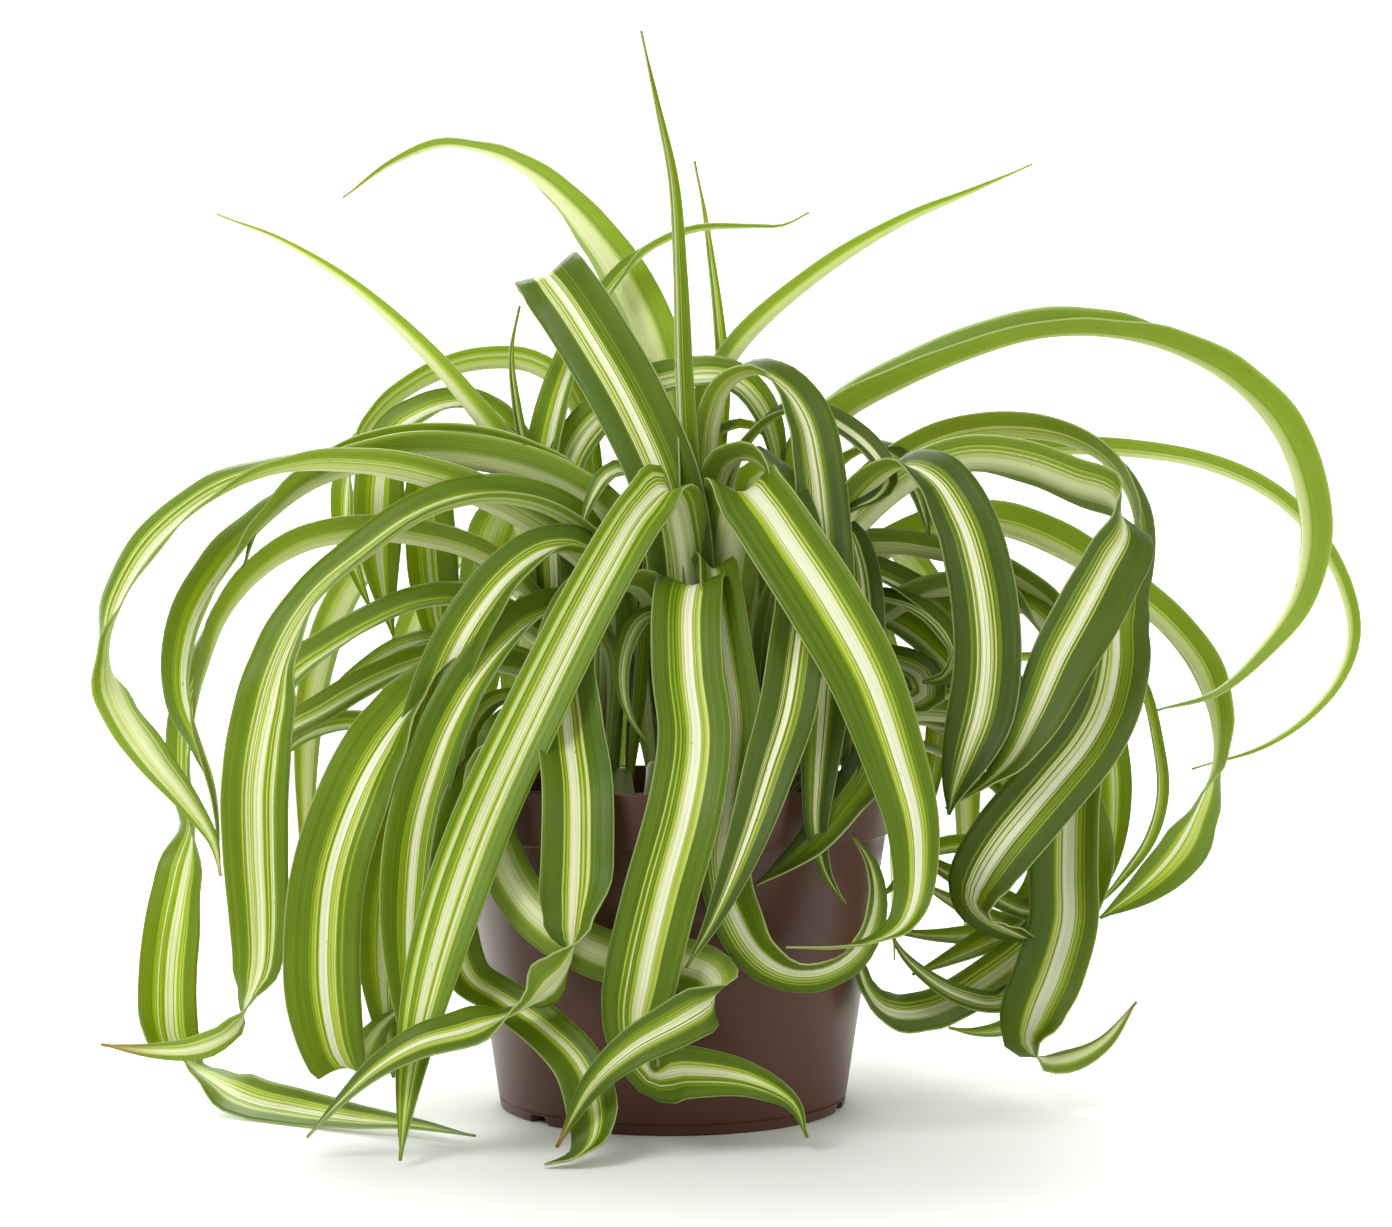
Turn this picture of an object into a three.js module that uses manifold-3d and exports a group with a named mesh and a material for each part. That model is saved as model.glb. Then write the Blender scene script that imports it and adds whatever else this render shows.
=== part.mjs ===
// Potted spider plant: six rosettes of arching striped leaves in a plastic nursery pot.
// Millimetres, +Z up. The origin is the centre of the pot's foot, on the surface that it stands on.
// The plant's front looks along -Y and its right side along +X.
import * as THREE from "three";
import { mergeVertices } from "three/addons/utils/BufferGeometryUtils.js";
import Module from "manifold-3d";

const wasm = await Module();
wasm.setup();

// Pot
const POT_HEIGHT = 97;
const POT_SIDES = 40;
const RIM_OUTER = 65;
const RIM_BAND = 16;
const RIM_STEP = 1.1;
const FOOT_OUTER = 51.6;
const WALL = 1.6;
const FLOOR_THICKNESS = 2;
const FOOT_RING = 3;
const FOOT_HOLLOW = 1.6;
const PAD_RADIUS = 12;
const LINE_DEPTH = 0.35;
const NOTCH_WIDTH = 8;
const NOTCH_HEIGHT = 2.5;
const NOTCH_ANGLES = [-48, 72, 192];
const DRAIN_RADIUS = 3.5;
const DRAIN_CIRCLE = 34;
const DRAIN_COUNT = 6;

// Soil
const SOIL_TOP = 88;
const SOIL_CROWN = 2.5;
const SOIL_GAP = 0.3;

// Rosette stocks, which the leaves grow from, standing in holes in the soil
const STOCK_RADIUS = 8.5;
const STOCK_BOTTOM = 74;
const STOCK_TOP = 101;
const STOCK_SIDES = 12;
const ROOT_HEIGHT = 86;
const ROOT_OFFSET = 5;

// Leaf blades
const BLADE_THICKNESS = 1.1;
const SLICE_STEP = 22;
const HIDDEN_STEP = 36;
const PIECE_SPANS = 6;
const SHORTEST_EDGE = 0.02;
const BASE_WIDTH = 0.3;
const BASE_STRETCH = 0.3;
const TAPER_POWER = 1.8;
const TIP_WIDTH = 0.9;
const FLOOR_GAP = 0.6;

// The eye that the leaves' routes were read from: above the foot, off to the side and in front
const EYE_UP = 151;
const EYE_SIDE = 7;
const EYE_AWAY = 777;

const CROWNS = {
  "front": [5, -14],
  "right": [21, 3],
  "left": [-19, -1],
  "rear_left": [-31.5, 23],
  "rear": [-2, 28],
  "rear_right": [28, 25],
};

// Each leaf: name, width, fold at the base and at the tip in degrees, where its taper starts,
// and its route. A point of the route is [across, up, near, face]: across and up in the upright
// plane through the pot's middle, near as the distance from it towards the eye, and face as how
// far the upper side is turned from facing the eye. A point without face takes it from the others.
const LEAVES = {
  "front": [
    ["centre_fall", 21, [24, 12], 0.7,
      [[9, 130, 15], [8.5, 146, 19, 180], [6, 155, 28], [4, 147, 38, 0], [4.5, 128, 50, 0],
        [6.5, 108, 64, 0], [3.5, 88, 74, 0], [-4, 60, 77, 5], [-9, 38, 77, 10], [-11, 22, 76, 35],
        [-6.5, 8, 76, 60], [3.5, 8.5, 76, -10], [22, 6.5, 75, -10], [36, -0.5, 74, 10],
        [40.5, -11, 73, 30]]],
    ["long_fall", 18, [50, 16], 0.74,
      [[5, 140, 14], [4.5, 156, 15, 170], [2.5, 172, 18, 165], [-1.5, 183.5, 24], [-9, 178, 31, 0],
        [-20, 160, 39, 0], [-40, 121, 51, 0], [-58.7, 80, 63, 4], [-71.5, 42, 74, 5], [-78.5, 10, 82, 12],
        [-82, -18, 92, 25]]],
    ["bent_over", 23, [45, 14], 0.8,
      [[2, 165, 10, 0], [-2.5, 187, 10, 0], [-12.5, 210, 7, -4], [-24, 230, 1, -6], [-32.5, 243, -5, -8],
        [-37.5, 248.5, -10], [-35.5, 244, -14, 180], [-30, 232.5, -16, 180], [-24.5, 221, -17, 180]]],
    ["tall_spike", 13, [55, 50], 0.2,
      [[3.5, 165, 9, 35], [2.6, 190, 8, 35], [1.4, 220, 6, 35], [0.8, 250, 4, 35], [-0.5, 276, 4, 30],
        [-5, 300, 4, 25], [-9.5, 321.5, 4, 20]]],
    ["hook", 15, [50, 20], 0.82,
      [[9, 140, 10], [10, 153, 14, 180], [12, 160, 21], [14, 152, 29, -15], [17, 133, 41, -10],
        [19.5, 112, 55, -5], [17.5, 90, 66.5, 0], [15.5, 72, 68, 0], [19, 57.5, 69, 12],
        [27, 44.5, 69.5, 38], [36, 39.5, 69, 55], [47, 40.5, 66, 60], [56, 47.5, 61, 58],
        [60.5, 60, 56, 55], [59, 71.5, 54, 50], [53.5, 80.5, 54, 50]]],
    ["small_curl", 6.5, [30, 20], 0.6,
      [[0, 138, 24, 90], [-4, 146, 29, 60], [-10, 144, 34, 35], [-14.5, 134, 38, 20], [-15, 124, 40, 15],
        [-12.5, 115, 42, 15], [-8, 108, 44, 15]]],
    ["swirl", 21, [45, 14], 0.62,
      [[-4, 138, 14, 130], [-12, 153, 23, 110], [-23, 151, 31, 50], [-31.5, 133, 37, 15],
        [-30.5, 112, 47, 5], [-28.5, 92, 65, 0], [-28.5, 70, 72, 5], [-29.5, 52, 75, 50],
        [-31, 42, 76, 105], [-37, 34, 78, 130], [-46, 27, 81, 90], [-61, 21, 85, 45], [-76, 17, 88, 42],
        [-89, 9.5, 87, 48], [-100, -0.5, 84, 55], [-110, -11, 80, 60]]],
  ],
  "left": [
    ["high_arch", 22, [58, 28], 0.66,
      [[-20, 172, 1, 104], [-30, 180.5, 0, 112], [-42, 186, -1, 118], [-58, 190, -2, 121],
        [-75, 191.5, -2, 120], [-92, 189.5, -2, 112], [-108, 184, -2, 100], [-122, 173.5, -1, 82],
        [-134, 160, 0, 64], [-142.5, 146, 2, 56], [-146, 133, 3, 55], [-146, 121, 5, 58],
        [-141.5, 107, 7, 80], [-138, 96, 8, 92], [-136.5, 84, 8, 92], [-136.5, 72, 8, 92]]],
    ["top_band", 14, [58, 30], 0.7,
      [[-30, 184, -4, 100], [-43, 193, -4, 106], [-58, 197.5, -5, 110], [-75, 198.5, -6, 110],
        [-92, 196, -6, 106], [-107, 190, -5, 98], [-117, 182, -3, 88], [-124.5, 172, 0, 74],
        [-129, 160, 3, 60]]],
    ["long_arch", 20, [56, 18], 0.66,
      [[-24, 154, 4, 110], [-36, 166.5, 5, 120], [-48, 174, 7, 124], [-62, 180.5, 9, 120],
        [-80, 186.5, 11, 111], [-100, 189.5, 12, 101], [-120, 188.5, 12, 86], [-140, 180, 12, 70],
        [-156, 166, 12, 62], [-165.5, 150.5, 13, 70], [-169.5, 135.5, 15, 92], [-166.5, 121, 17, 135],
        [-156.5, 104.5, 22, 160], [-145.5, 90, 25, 168], [-138, 78, 27, 170], [-136, 67.5, 28, 170]]],
    ["inner_small", 11, [45, 25], 0.7,
      [[-10, 160, 2.5, 60], [-10, 178, 3, 60], [-14, 189, 4, 62], [-19, 188, 6, 50], [-24, 181, 8, 40],
        [-28, 171, 10, 30]]],
    ["near_arch", 20, [58, 14], 0.68,
      [[-22, 163, 3, 78], [-33, 174, 8, 72], [-48, 179.5, 14, 70], [-61, 179.5, 18, 69],
        [-76, 174.5, 22, 68], [-92, 163.5, 26, 68], [-107, 150.8, 30, 66], [-116.5, 134.5, 33, 50],
        [-122, 116, 35, 20], [-125.5, 96, 37, 0], [-125.5, 75, 39, 0], [-124.5, 56, 41, 5],
        [-124.5, 41, 42, 20], [-127.5, 29.8, 43, 72], [-132, 21, 44, 125], [-143, 15.5, 44, 150],
        [-157, 15, 44, 155], [-172, 17, 42, 160]]],
    ["inner_arch", 18, [55, 15], 0.8,
      [[-20, 152, 8, 90], [-27, 164, 15, 72], [-37, 165, 21, 60], [-48, 158, 28, 42], [-58, 146, 31, 28],
        [-66, 132, 33, 22], [-71.5, 117, 33, 15], [-76, 98, 33, 8], [-81, 80, 33, 0], [-85.5, 62, 33, 0],
        [-87, 42, 34, 0], [-86, 24, 35, 0], [-84, 7, 36, 0]]],
    ["front_arch", 16, [55, 15], 0.72,
      [[-21, 136, 12, 90], [-31, 146.5, 19, 70], [-42, 144.5, 28, 55], [-51, 137, 34, 42],
        [-60, 126, 39, 32], [-67.5, 113, 42, 20], [-73.5, 98, 45, 8], [-78, 82, 47, 0], [-80, 64, 49, 0],
        [-80.5, 46, 50, 0], [-79.5, 28, 51, 0], [-78, 14, 51, 10], [-76, 5, 50, 20]]],
    ["wide_hang", 22, [50, 12], 0.76,
      [[-28, 116, 8, 100], [-44, 127, 14, 98], [-60, 129.5, 20, 90], [-71, 125.5, 27, 75],
        [-80, 116.5, 34, 55], [-89.5, 103, 41, 26], [-97.5, 87, 47, 6], [-103.5, 68, 51, 0],
        [-105.5, 48, 53, 0], [-105, 30, 53, 0], [-101.5, 14, 51, 0], [-97.5, 10, 46], [-93, 15, 41, 180],
        [-88, 22.5, 39, 175], [-81, 28.5, 37, 165]]],
    ["under_fold", 15, [45, 14], 0.72,
      [[-26, 108, 16, 100], [-40, 116, 30, 80], [-50, 110, 44, 40], [-55, 96, 52, 150], [-54, 80, 56, 180],
        [-46, 62, 59, 180], [-34, 50.5, 66, 180], [-16, 42.5, 70, 180], [2, 41.5, 71, 180],
        [11, 38, 74, 180], [12.5, 31.5, 80], [4, 25, 85, 0], [-12, 16, 88, 0], [-24, 5, 88, 5],
        [-35, -14, 87, 15]]],
    ["foot_curl", 14.5, [45, 14], 0.88,
      [[-34, 100, 22, 90], [-50, 104, 36, 60], [-61, 92, 46, 20], [-66, 74, 51, 0], [-66.5, 54, 54, -5],
        [-62, 37, 58, -28], [-52, 30, 63, -38], [-40, 22, 70, -32], [-29, 11, 77, -18],
        [-24.5, -0.5, 83, 0], [-24, -10.5, 87, 35], [-29, -17, 91, 72], [-38.5, -19.2, 93, 82]]],
    ["low_fan", 15, [45, 20], 0.68,
      [[-30, 122, 2, 95], [-48, 132, 3, 78], [-66, 133, 4, 66], [-80, 129.5, 6, 60], [-93, 123.5, 8, 54],
        [-105, 116.5, 10, 50], [-116, 110.5, 12, 44], [-124, 100, 13, 34], [-128, 87, 14, 20]]],
    ["low_pale", 9, [45, 20], 0.6,
      [[-30, 112, 6, 95], [-44, 121, 14, 80], [-55, 118.5, 22, 50], [-62, 107, 28, 20], [-63, 94, 32, 0],
        [-65, 80, 35, 0]]],
  ],
  "rear_left": [
    ["inward_high", 18, [45, 20], 0.75,
      [[-37, 150, -31, 180], [-43, 168, -38, 180], [-49, 178, -47, 180], [-54, 170, -56, 180],
        [-57, 150, -62, 180], [-58, 126, -65, 180], [-58, 104, -66, 180]]],
    ["inward_low", 17, [45, 20], 0.75,
      [[-33, 128, -34, 180], [-36, 144, -42, 180], [-40, 150, -50, 180], [-43, 142, -58, 180],
        [-45, 122, -63, 180], [-45, 102, -66, 180]]],
    ["upper_reach", 18, [50, 35], 0.12,
      [[-38, 178, -15, 122], [-47.5, 190, -15, 128], [-57, 202, -13, 130], [-73, 221.5, -8, 128],
        [-95, 243, -6, 122], [-118, 258.5, -5, 114], [-137, 266.5, -4, 110]]],
    ["bent_thin", 17, [38, 34], 0.3,
      [[-36, 176, -18, -45], [-37, 192, -21, -38], [-35, 205, -23, -38], [-30.5, 220, -27, -42],
        [-23.5, 235, -28, -50], [-15.5, 247, -27, -66], [-6, 256, -23, -88], [8, 261.5, -19, -105],
        [24, 262.5, -16, -105], [33, 263, -15, -105], [41, 267, -15, -100]]],
    ["small_spike", 6.5, [35, 30], 0.4,
      [[-43, 186, -18, 30], [-47, 208, -18, 25], [-48.5, 225, -18, 20], [-46, 239, -18, 15]]],
    ["back_arch", 15, [60, 30], 0.7,
      [[-28, 196, -30, 108], [-33, 212, -32, 116], [-43, 219.5, -34, 120], [-56, 220.5, -36, 120],
        [-69, 217.5, -38, 116], [-81, 211, -39, 110], [-90, 203, -40, 96], [-96, 192, -40, 70],
        [-98, 180, -40, 40], [-97.5, 167, -40, 20], [-94, 156, -40, 10], [-90, 146, -40, 5]]],
    ["back_low", 17, [50, 20], 0.8,
      [[-38, 184, -24, 100], [-46, 197, -26, 80], [-56, 207, -27, 72], [-65, 209, -28, 66],
        [-75, 206, -29, 60], [-82.5, 200.5, -30, 45], [-86.5, 191.5, -30, 25], [-88, 180, -30, 8],
        [-88, 166, -30, 0], [-86.5, 152, -30, 0], [-84, 140, -30, 5]]],
    ["back_drop", 17, [50, 20], 0.8,
      [[-40, 176, -34, 96], [-51, 193, -37, 88], [-61, 199, -38, 78], [-69, 194, -38, 50],
        [-72.5, 182, -38, 15], [-72.5, 166, -38, 0], [-71, 150, -37, 0], [-69, 136, -36, 0],
        [-68, 122, -35, 0]]],
    ["low_long", 18, [58, 14], 0.72,
      [[-36, 138, -18, 90], [-45, 152, -17, 106], [-58, 162, -16, 116], [-75, 167, -15, 117],
        [-92, 168.5, -14, 116], [-110, 165.5, -12, 112], [-124, 157, -10, 104], [-134, 145, -9, 92],
        [-140, 130, -8, 80], [-144.5, 114, -7, 60], [-145.5, 99, -5, 68], [-143.5, 84, -3, 80],
        [-147, 67, 0, 36], [-151, 46, 2, 6], [-152, 29, 4, 2], [-151, 18, 7, -30], [-146, 11, 10, -80],
        [-139, 6, 14, -66], [-130, 1, 20, -36], [-120, -2, 26, -38], [-108, -4, 34, -42],
        [-94, -6, 44, -50], [-78, -7.6, 54, -60], [-59.5, -10.6, 69, -70]]],
    ["right_over", 16, [40, 20], 0.75,
      [[-32, 186, -19, -32], [-27, 199, -21, -32], [-18, 208, -21, -40], [-7, 214.5, -19, -50],
        [6, 217.5, -14, -52], [15, 217.5, -12, -52], [22, 213.5, -9.5, -48], [27.5, 206, -10.5, -40],
        [31, 195, -10, -30], [31.5, 182, -10, -20]]],
    ["side_arch", 18, [50, 20], 0.72,
      [[-36, 130, -10, 90], [-48, 142.5, -10, 74], [-62, 149, -9, 68], [-76, 148.5, -8, 66],
        [-90, 143, -7, 66], [-103, 135.5, -6, 64], [-114, 127.5, -5, 56], [-122, 115, -4, 44],
        [-126, 99, -3, 30], [-127, 84, -2, 15]]],
    ["side_low", 12, [50, 25], 0.75,
      [[-38, 104, -20, 90], [-56, 111, -21, 76], [-76, 110.5, -21, 66], [-90, 112.5, -20, 60],
        [-101, 112.5, -19, 56], [-110, 109.5, -18, 55], [-117, 104, -17, 55], [-122, 96, -16, 60]]],
    ["side_mid", 11, [50, 25], 0.72,
      [[-40, 122, -22, 90], [-54, 133.5, -23, 76], [-70, 138, -24, 70], [-81, 136, -24, 64],
        [-90, 131, -24, 58], [-99, 125, -24, 54], [-107, 119, -24, 50]]],
  ],
  "rear": [
    ["behind_left", 18, [45, 20], 0.75,
      [[-8, 130, -32, 180], [-11, 154, -37, 180], [-14, 166, -46, 180], [-16, 158, -56, 180],
        [-17, 136, -63, 180], [-17, 112, -67, 180]]],
    ["behind_middle", 16, [45, 20], 0.75,
      [[6, 128, -32, 180], [8, 142, -40, 180], [9, 148, -49, 180], [10, 139, -58, 180], [10, 122, -64, 180],
        [10, 104, -68, 180]]],
    ["tall_arch", 22, [40, 25], 0.5,
      [[-1, 185, -30, 148], [-3, 206, -31, 150], [-7.5, 226.5, -32, 150], [-15, 244, -34, 146],
        [-25.5, 259.5, -36, 136], [-37.5, 273, -38, 122], [-49, 281.5, -41, 108], [-59, 285.5, -44, 98],
        [-70, 286.5, -46, 106], [-84, 281.5, -48, 110], [-99, 271.5, -50, 105]]],
    ["over_low", 12, [45, 25], 0.8,
      [[3, 172, -24, -110], [7, 189, -26, -105], [13, 199, -27, -100], [20, 202.5, -27, -92],
        [27.5, 200, -28, -76], [33, 192, -29, -52], [36, 181, -29, -30]]],
    ["thin_spike", 8, [40, 35], 0.35,
      [[12, 190, -28, 30], [14.5, 215, -28, 30], [13.3, 235, -28, 30], [11.4, 252, -28, 30],
        [9.3, 268, -28, 30], [6.5, 282.5, -28, 30]]],
    ["upper_right", 14, [55, 45], 0.5,
      [[5, 190, -24, -122], [11.5, 209.5, -24, -122], [21, 225.5, -24, -120], [32, 237, -24, -118],
        [51, 252, -24, -116], [70.5, 264, -24, -114], [90, 273, -24, -111], [108, 281.5, -24, -106]]],
  ],
  "right": [
    ["big_diagonal", 23, [45, 12], 0.5,
      [[15, 140, 4], [16, 160, 9, 175], [18, 175, 14, 175], [21, 183, 23], [27, 178, 33, 0],
        [34, 167.5, 41, 0], [46, 149, 50, 0], [58, 127, 56, 0], [67, 102, 60, 0], [72, 84, 62, 0],
        [73, 70, 63, 5], [72, 60, 65, 15], [68.5, 52.5, 68, 40], [61, 48, 71, 70], [50, 46, 74, 90],
        [34, 46.2, 76, 95]]],
    ["under_drop", 17, [50, 18], 0.7,
      [[14.5, 172, 0.5, -115], [15, 184, 5, -118], [19, 192, 11, -112], [26, 191.5, 18, -90],
        [33, 182, 24, -55], [37, 167, 30, -28], [38.5, 150, 37, -10], [37, 134, 50, 0], [34, 116, 61, 0],
        [29, 100, 70, 0], [24, 84, 76, 0], [18.5, 69, 79, 0], [12, 54, 81, 5], [4, 40, 83, 5]]],
    ["centre_drop", 17, [50, 16], 0.7,
      [[13, 188, -3, -118], [14, 204, 0, -114], [18, 215, 4, -100], [26, 218.5, 8, -80],
        [34, 213.5, 10, -55], [40, 204, 14, -32], [43, 191, 17, -20], [45, 174, 20, -10],
        [46.5, 155, 25, 0], [46.5, 136, 33, 0], [45.5, 117, 44, 0], [44, 98, 55, 0], [43.3, 82, 60, 0],
        [46, 69, 61, 5], [52, 59, 62, 15]]],
    ["ring", 11, [45, 25], 0.75,
      [[19, 188, -4, -110], [27, 202, -1, -90], [36, 207.5, 1, -75], [44, 206, 2, -60], [51, 202, 4, -50],
        [57.5, 197, 7, -45], [62, 191.5, 11, -40], [64, 186, 14, -10], [61, 181.5, 15, 30],
        [54, 178, 15, 45], [46, 173, 14, 50]]],
    ["dark_hang", 20, [50, 14], 0.86,
      [[36, 150, -1, -130], [50, 170, 8, -122], [61, 184.5, 15, -112], [70, 190.5, 21, -85],
        [79, 186.5, 27, -45], [87, 174, 32, -22], [91.5, 160, 34, -12], [94, 145, 35, -6],
        [94.5, 130, 36, 0], [92.5, 116, 37, 4], [88.5, 104, 38, 8], [85, 94, 39, 18], [83, 86, 40, 35]]],
    ["shade_drop", 11, [45, 20], 0.7,
      [[36, 158, 0, -110], [45, 170, 3, -104], [52, 172, 6, -80], [56, 163, 8, -40], [58, 151, 14, -15],
        [58.5, 136, 22, 0], [57, 118, 33, 10], [54.5, 103, 45, 10], [51, 91, 53, 5], [47.5, 79, 57, 0]]],
    ["dark_low", 14, [45, 16], 0.8,
      [[34, 128, 2, -110], [46, 139, 8, -100], [56, 135, 16, -70], [61.5, 123, 27, -30], [61.5, 108, 39, 0],
        [57.5, 97, 50, 15], [50, 87, 58, 32], [42, 77, 62, 38], [33, 70, 66, 45], [25, 65, 69, 45]]],
  ],
  "rear_right": [
    ["inward_tall", 18, [45, 20], 0.75,
      [[26, 140, -32, 180], [25, 165, -35, 180], [25, 183, -42, 180], [26, 187, -51, 180],
        [27, 174, -60, 180], [28, 150, -66, 180], [28, 124, -69, 180]]],
    ["inward_side", 17, [45, 20], 0.75,
      [[35, 134, -31, 180], [46, 146, -40, 180], [54, 147, -49, 180], [58, 138, -57, 180],
        [60, 118, -61, 180], [61, 100, -63, 180]]],
    ["big_arch", 24, [66, 28], 0.66,
      [[36, 178, -18, -96], [42, 193, -17, -92], [52, 204.5, -15, -86], [70, 214.8, -12, -80],
        [90, 223.5, -8, -76], [110, 229.3, -4, -76], [130, 229.8, 0, -82], [150, 225, 4, -94],
        [168, 214.8, 8, -106], [180.8, 201, 10, -116], [188, 183.5, 12, -121], [189.8, 168, 12, -122],
        [186, 151, 12, -118], [176, 136, 12, -110], [163, 123.5, 12, -104], [145, 117.5, 12, -100]]],
    ["far_arch", 13, [62, 35], 0.6,
      [[36, 165, -32, -105], [60, 184, -36, -105], [90, 192, -39, -105], [115, 194.5, -41, -107],
        [140, 193.5, -42, -108], [160, 190, -43, -108], [178, 182, -43, -110], [191, 170.5, -43, -112],
        [200, 155, -43, -114], [203, 140, -42, -115], [199.5, 128, -41, -114], [191, 117, -40, -110],
        [177, 107, -39, -105], [156, 100, -38, -100]]],
    ["striped_turn", 21, [48, 16], 0.74,
      [[46, 156, -12, -115], [60, 174, -10, -118], [75, 186, -8, -122], [90, 191, -6, -126],
        [106, 189, -3, -131], [121, 183.5, 2, -134], [131.5, 180, 9, -122], [136, 171, 18, -55],
        [131, 160, 25, -22], [124.5, 147, 29, -12], [117, 133, 32, -6], [110, 117, 34, 0],
        [102.5, 103, 36, 25], [94, 95, 37, 60], [82, 88, 37, 72]]],
    ["dark_turn", 21.5, [55, 13], 0.82,
      [[48, 166, -25, -100], [62, 184, -26, -105], [78, 195, -26, -105], [92, 199, -26, -105],
        [105, 199.5, -25, -105], [118, 197.5, -22, -100], [129, 192, -17, -92], [136, 183, -11, -85],
        [139, 172, -5, -78], [136, 158, 1, -60], [133, 145, 7, -35], [132.5, 131, 13, -10],
        [129.5, 118, 18, 0], [123.5, 107, 23, 0], [115, 96.5, 27, 0], [106.5, 86.5, 30, 0],
        [98.5, 76.5, 33, 2], [93, 67.5, 35, 14], [90.5, 60.5, 35, 48], [94, 55.5, 29, 62],
        [102, 51, 19, 52], [110.5, 47.5, 5, 45]]],
    ["far_turn", 21, [48, 20], 0.84,
      [[44, 150, -32, -100], [64, 163, -36, -114], [82, 170.5, -37, -122], [98, 171.5, -37, -126],
        [113, 166.5, -36, -126], [126, 159, -34, -122], [138, 150.5, -32, -120], [149, 141, -30, -120],
        [158, 129, -27, -120], [162, 115.5, -24, -112], [162.5, 102, -21, -94], [158, 88.5, -18, -66],
        [151.5, 75.5, -16, -34], [142, 65, -14, -20], [128.5, 55, -12, -15]]],
    ["wide_drop", 21, [50, 12], 0.78,
      [[58, 138, -18, -100], [78, 151, -18, -100], [97, 151.5, -16, -95], [111, 141, -13, -60],
        [118, 124, -9, -30], [119.5, 106, -5, -10], [118, 88, 2, 0], [117.5, 68, 8, 0], [117.5, 54, 11, 0],
        [113, 38, 13, 0], [108.5, 26.5, 15, 15], [106.5, 17.5, 16, 55], [111, 12.8, 16, 100],
        [120, 13.5, 15, 120], [130, 18.5, 13, 120], [139.5, 30, 11, 118]]],
    ["thin_turn", 8.5, [36, 25], 0.8,
      [[56, 118, -33, -100], [82, 138, -40, -100], [108, 147, -42, -100], [129, 140, -41, -92],
        [140, 125, -40, -70], [144.5, 108, -39, -66], [146, 93, -38, -62], [142.5, 79, -37, -58],
        [134.5, 67, -36, -50], [127, 58, -35, -50]]],
    ["behind_drop", 11, [45, 20], 0.78,
      [[54, 108, -40, -100], [86, 128, -47, -100], [113, 132, -48, -90], [127, 122, -47, -50],
        [132, 105, -46, -22], [133, 88, -45, -10], [131.5, 73, -44, -5], [127, 58, -43, 0]]],
    ["side_band", 18, [50, 22], 0.72,
      [[40, 160, -21, -108], [52, 164, -22, -114], [66, 165, -22, -116], [80, 163, -22, -116],
        [95, 159, -22, -114], [109, 151.5, -21, -108], [120, 141, -20, -90], [126.5, 128, -19, -50],
        [127.5, 114, -18, -25], [125.5, 100, -17, -10], [122, 88, -16, 0]]],
    ["side_drop", 16, [42, 20], 0.74,
      [[38, 152, -14, -105], [50, 159.5, -15, -76], [62, 157.5, -15, -62], [74, 151, -15, -56],
        [86, 141, -15, -52], [97, 130, -15, -48], [105, 117, -14, -44], [108, 103, -13, -40]]],
    ["young_pale", 12, [38, 20], 0.8,
      [[40, 142, -9, -100], [52, 150, -8, -80], [64, 150.5, -8, -68], [74, 147, -7, -60],
        [81, 140.5, -5, -55], [84, 133, -3, -60], [81, 127.5, -2, -40], [75, 126, -1, 0]]],
    ["young_drop", 14, [40, 20], 0.78,
      [[40, 134, -18, -90], [52, 145, -19, -66], [63, 144.5, -19, -55], [73, 139, -19, -50],
        [82, 130, -19, -45], [88, 119, -19, -35], [90, 106, -18, -20]]],
    ["curl_under", 14, [30, 20], 0.82,
      [[40, 124, -12, -80], [53, 130.5, -13, -62], [65, 131.5, -12, -50], [74, 128, -9, -30],
        [76, 122, -6, 10], [70.5, 119.5, -5, 40], [62, 123, -5, 55]]],
    ["lit_strip", 8, [45, 20], 0.8,
      [[48, 138, -42, -90], [62, 146, -48, -80], [74, 139, -51, -50], [79, 125, -52, -20],
        [79.5, 110, -52, 0], [77.5, 95, -51, 0], [75, 80, -50, 0]]],
    ["low_hook", 10, [40, 16], 0.75,
      [[54, 106, -12, -100], [82, 121, -10, -100], [106, 115, -6, -80], [118.5, 95, -4, -50],
        [120, 66, -3, -10], [113, 42, -1, 25], [99, 29.5, 1, 40], [86, 31.5, 4, 35], [76, 37.5, 6, 35],
        [68.5, 45, 7, 35], [65, 52, 7, 35]]],
    ["low_sweep", 17, [45, 16], 0.8,
      [[48, 108, -16, -100], [66, 114, -16, -100], [88, 113, -16, -100], [111, 103, -15, -78],
        [123.5, 83, -14, -40], [122, 60, -13, 15], [109, 46, -11, 40], [95, 35.5, -8, 42],
        [84, 28.5, -3, 42], [73, 25.2, 6, 45], [63.5, 26.8, 17, 50], [58, 33.5, 25, 60], [56, 41, 28, 35],
        [57, 48.5, 29, 15]]],
    ["low_back", 12, [40, 16], 0.78,
      [[44, 112, -40, -100], [58, 119, -46, -100], [78, 112, -50, -90], [98, 96, -51, -70],
        [112, 72, -50, -40], [114, 46, -48, 0], [110, 30, -46, 25], [101, 22, -43, 45], [91, 20.5, -41, 48],
        [83, 22, -40, 50]]],
    ["low_level", 12, [40, 16], 0.75,
      [[46, 116, -34, -100], [62, 122, -37, -100], [86, 114, -38, -90], [107, 94, -37, -60],
        [116.5, 68, -35, -10], [108, 54, -33, 30], [95, 50, -31, 45], [79, 49.3, -29, 50],
        [63, 51.5, -28, 50]]],
    ["low_bow", 14, [40, 16], 0.75,
      [[50, 101, -27, -100], [77, 115, -28, -100], [101, 107, -28, -78], [112, 87, -27, -46],
        [112.5, 66, -25, 0], [104, 53, -23, 30], [93, 47, -20, 40], [82, 42, -18, 42], [72, 38, -17, 42]]],
    ["low_cross", 10, [40, 16], 0.82,
      [[50, 110, -22, -100], [76, 113, -23, -100], [100, 102, -22, -70], [115, 80, -21, -30],
        [117, 62, -20, 10], [107, 57, -18, 40], [97, 61, -16, 45], [88, 65.5, -15, 45], [79, 70.5, -14, 45],
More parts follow.
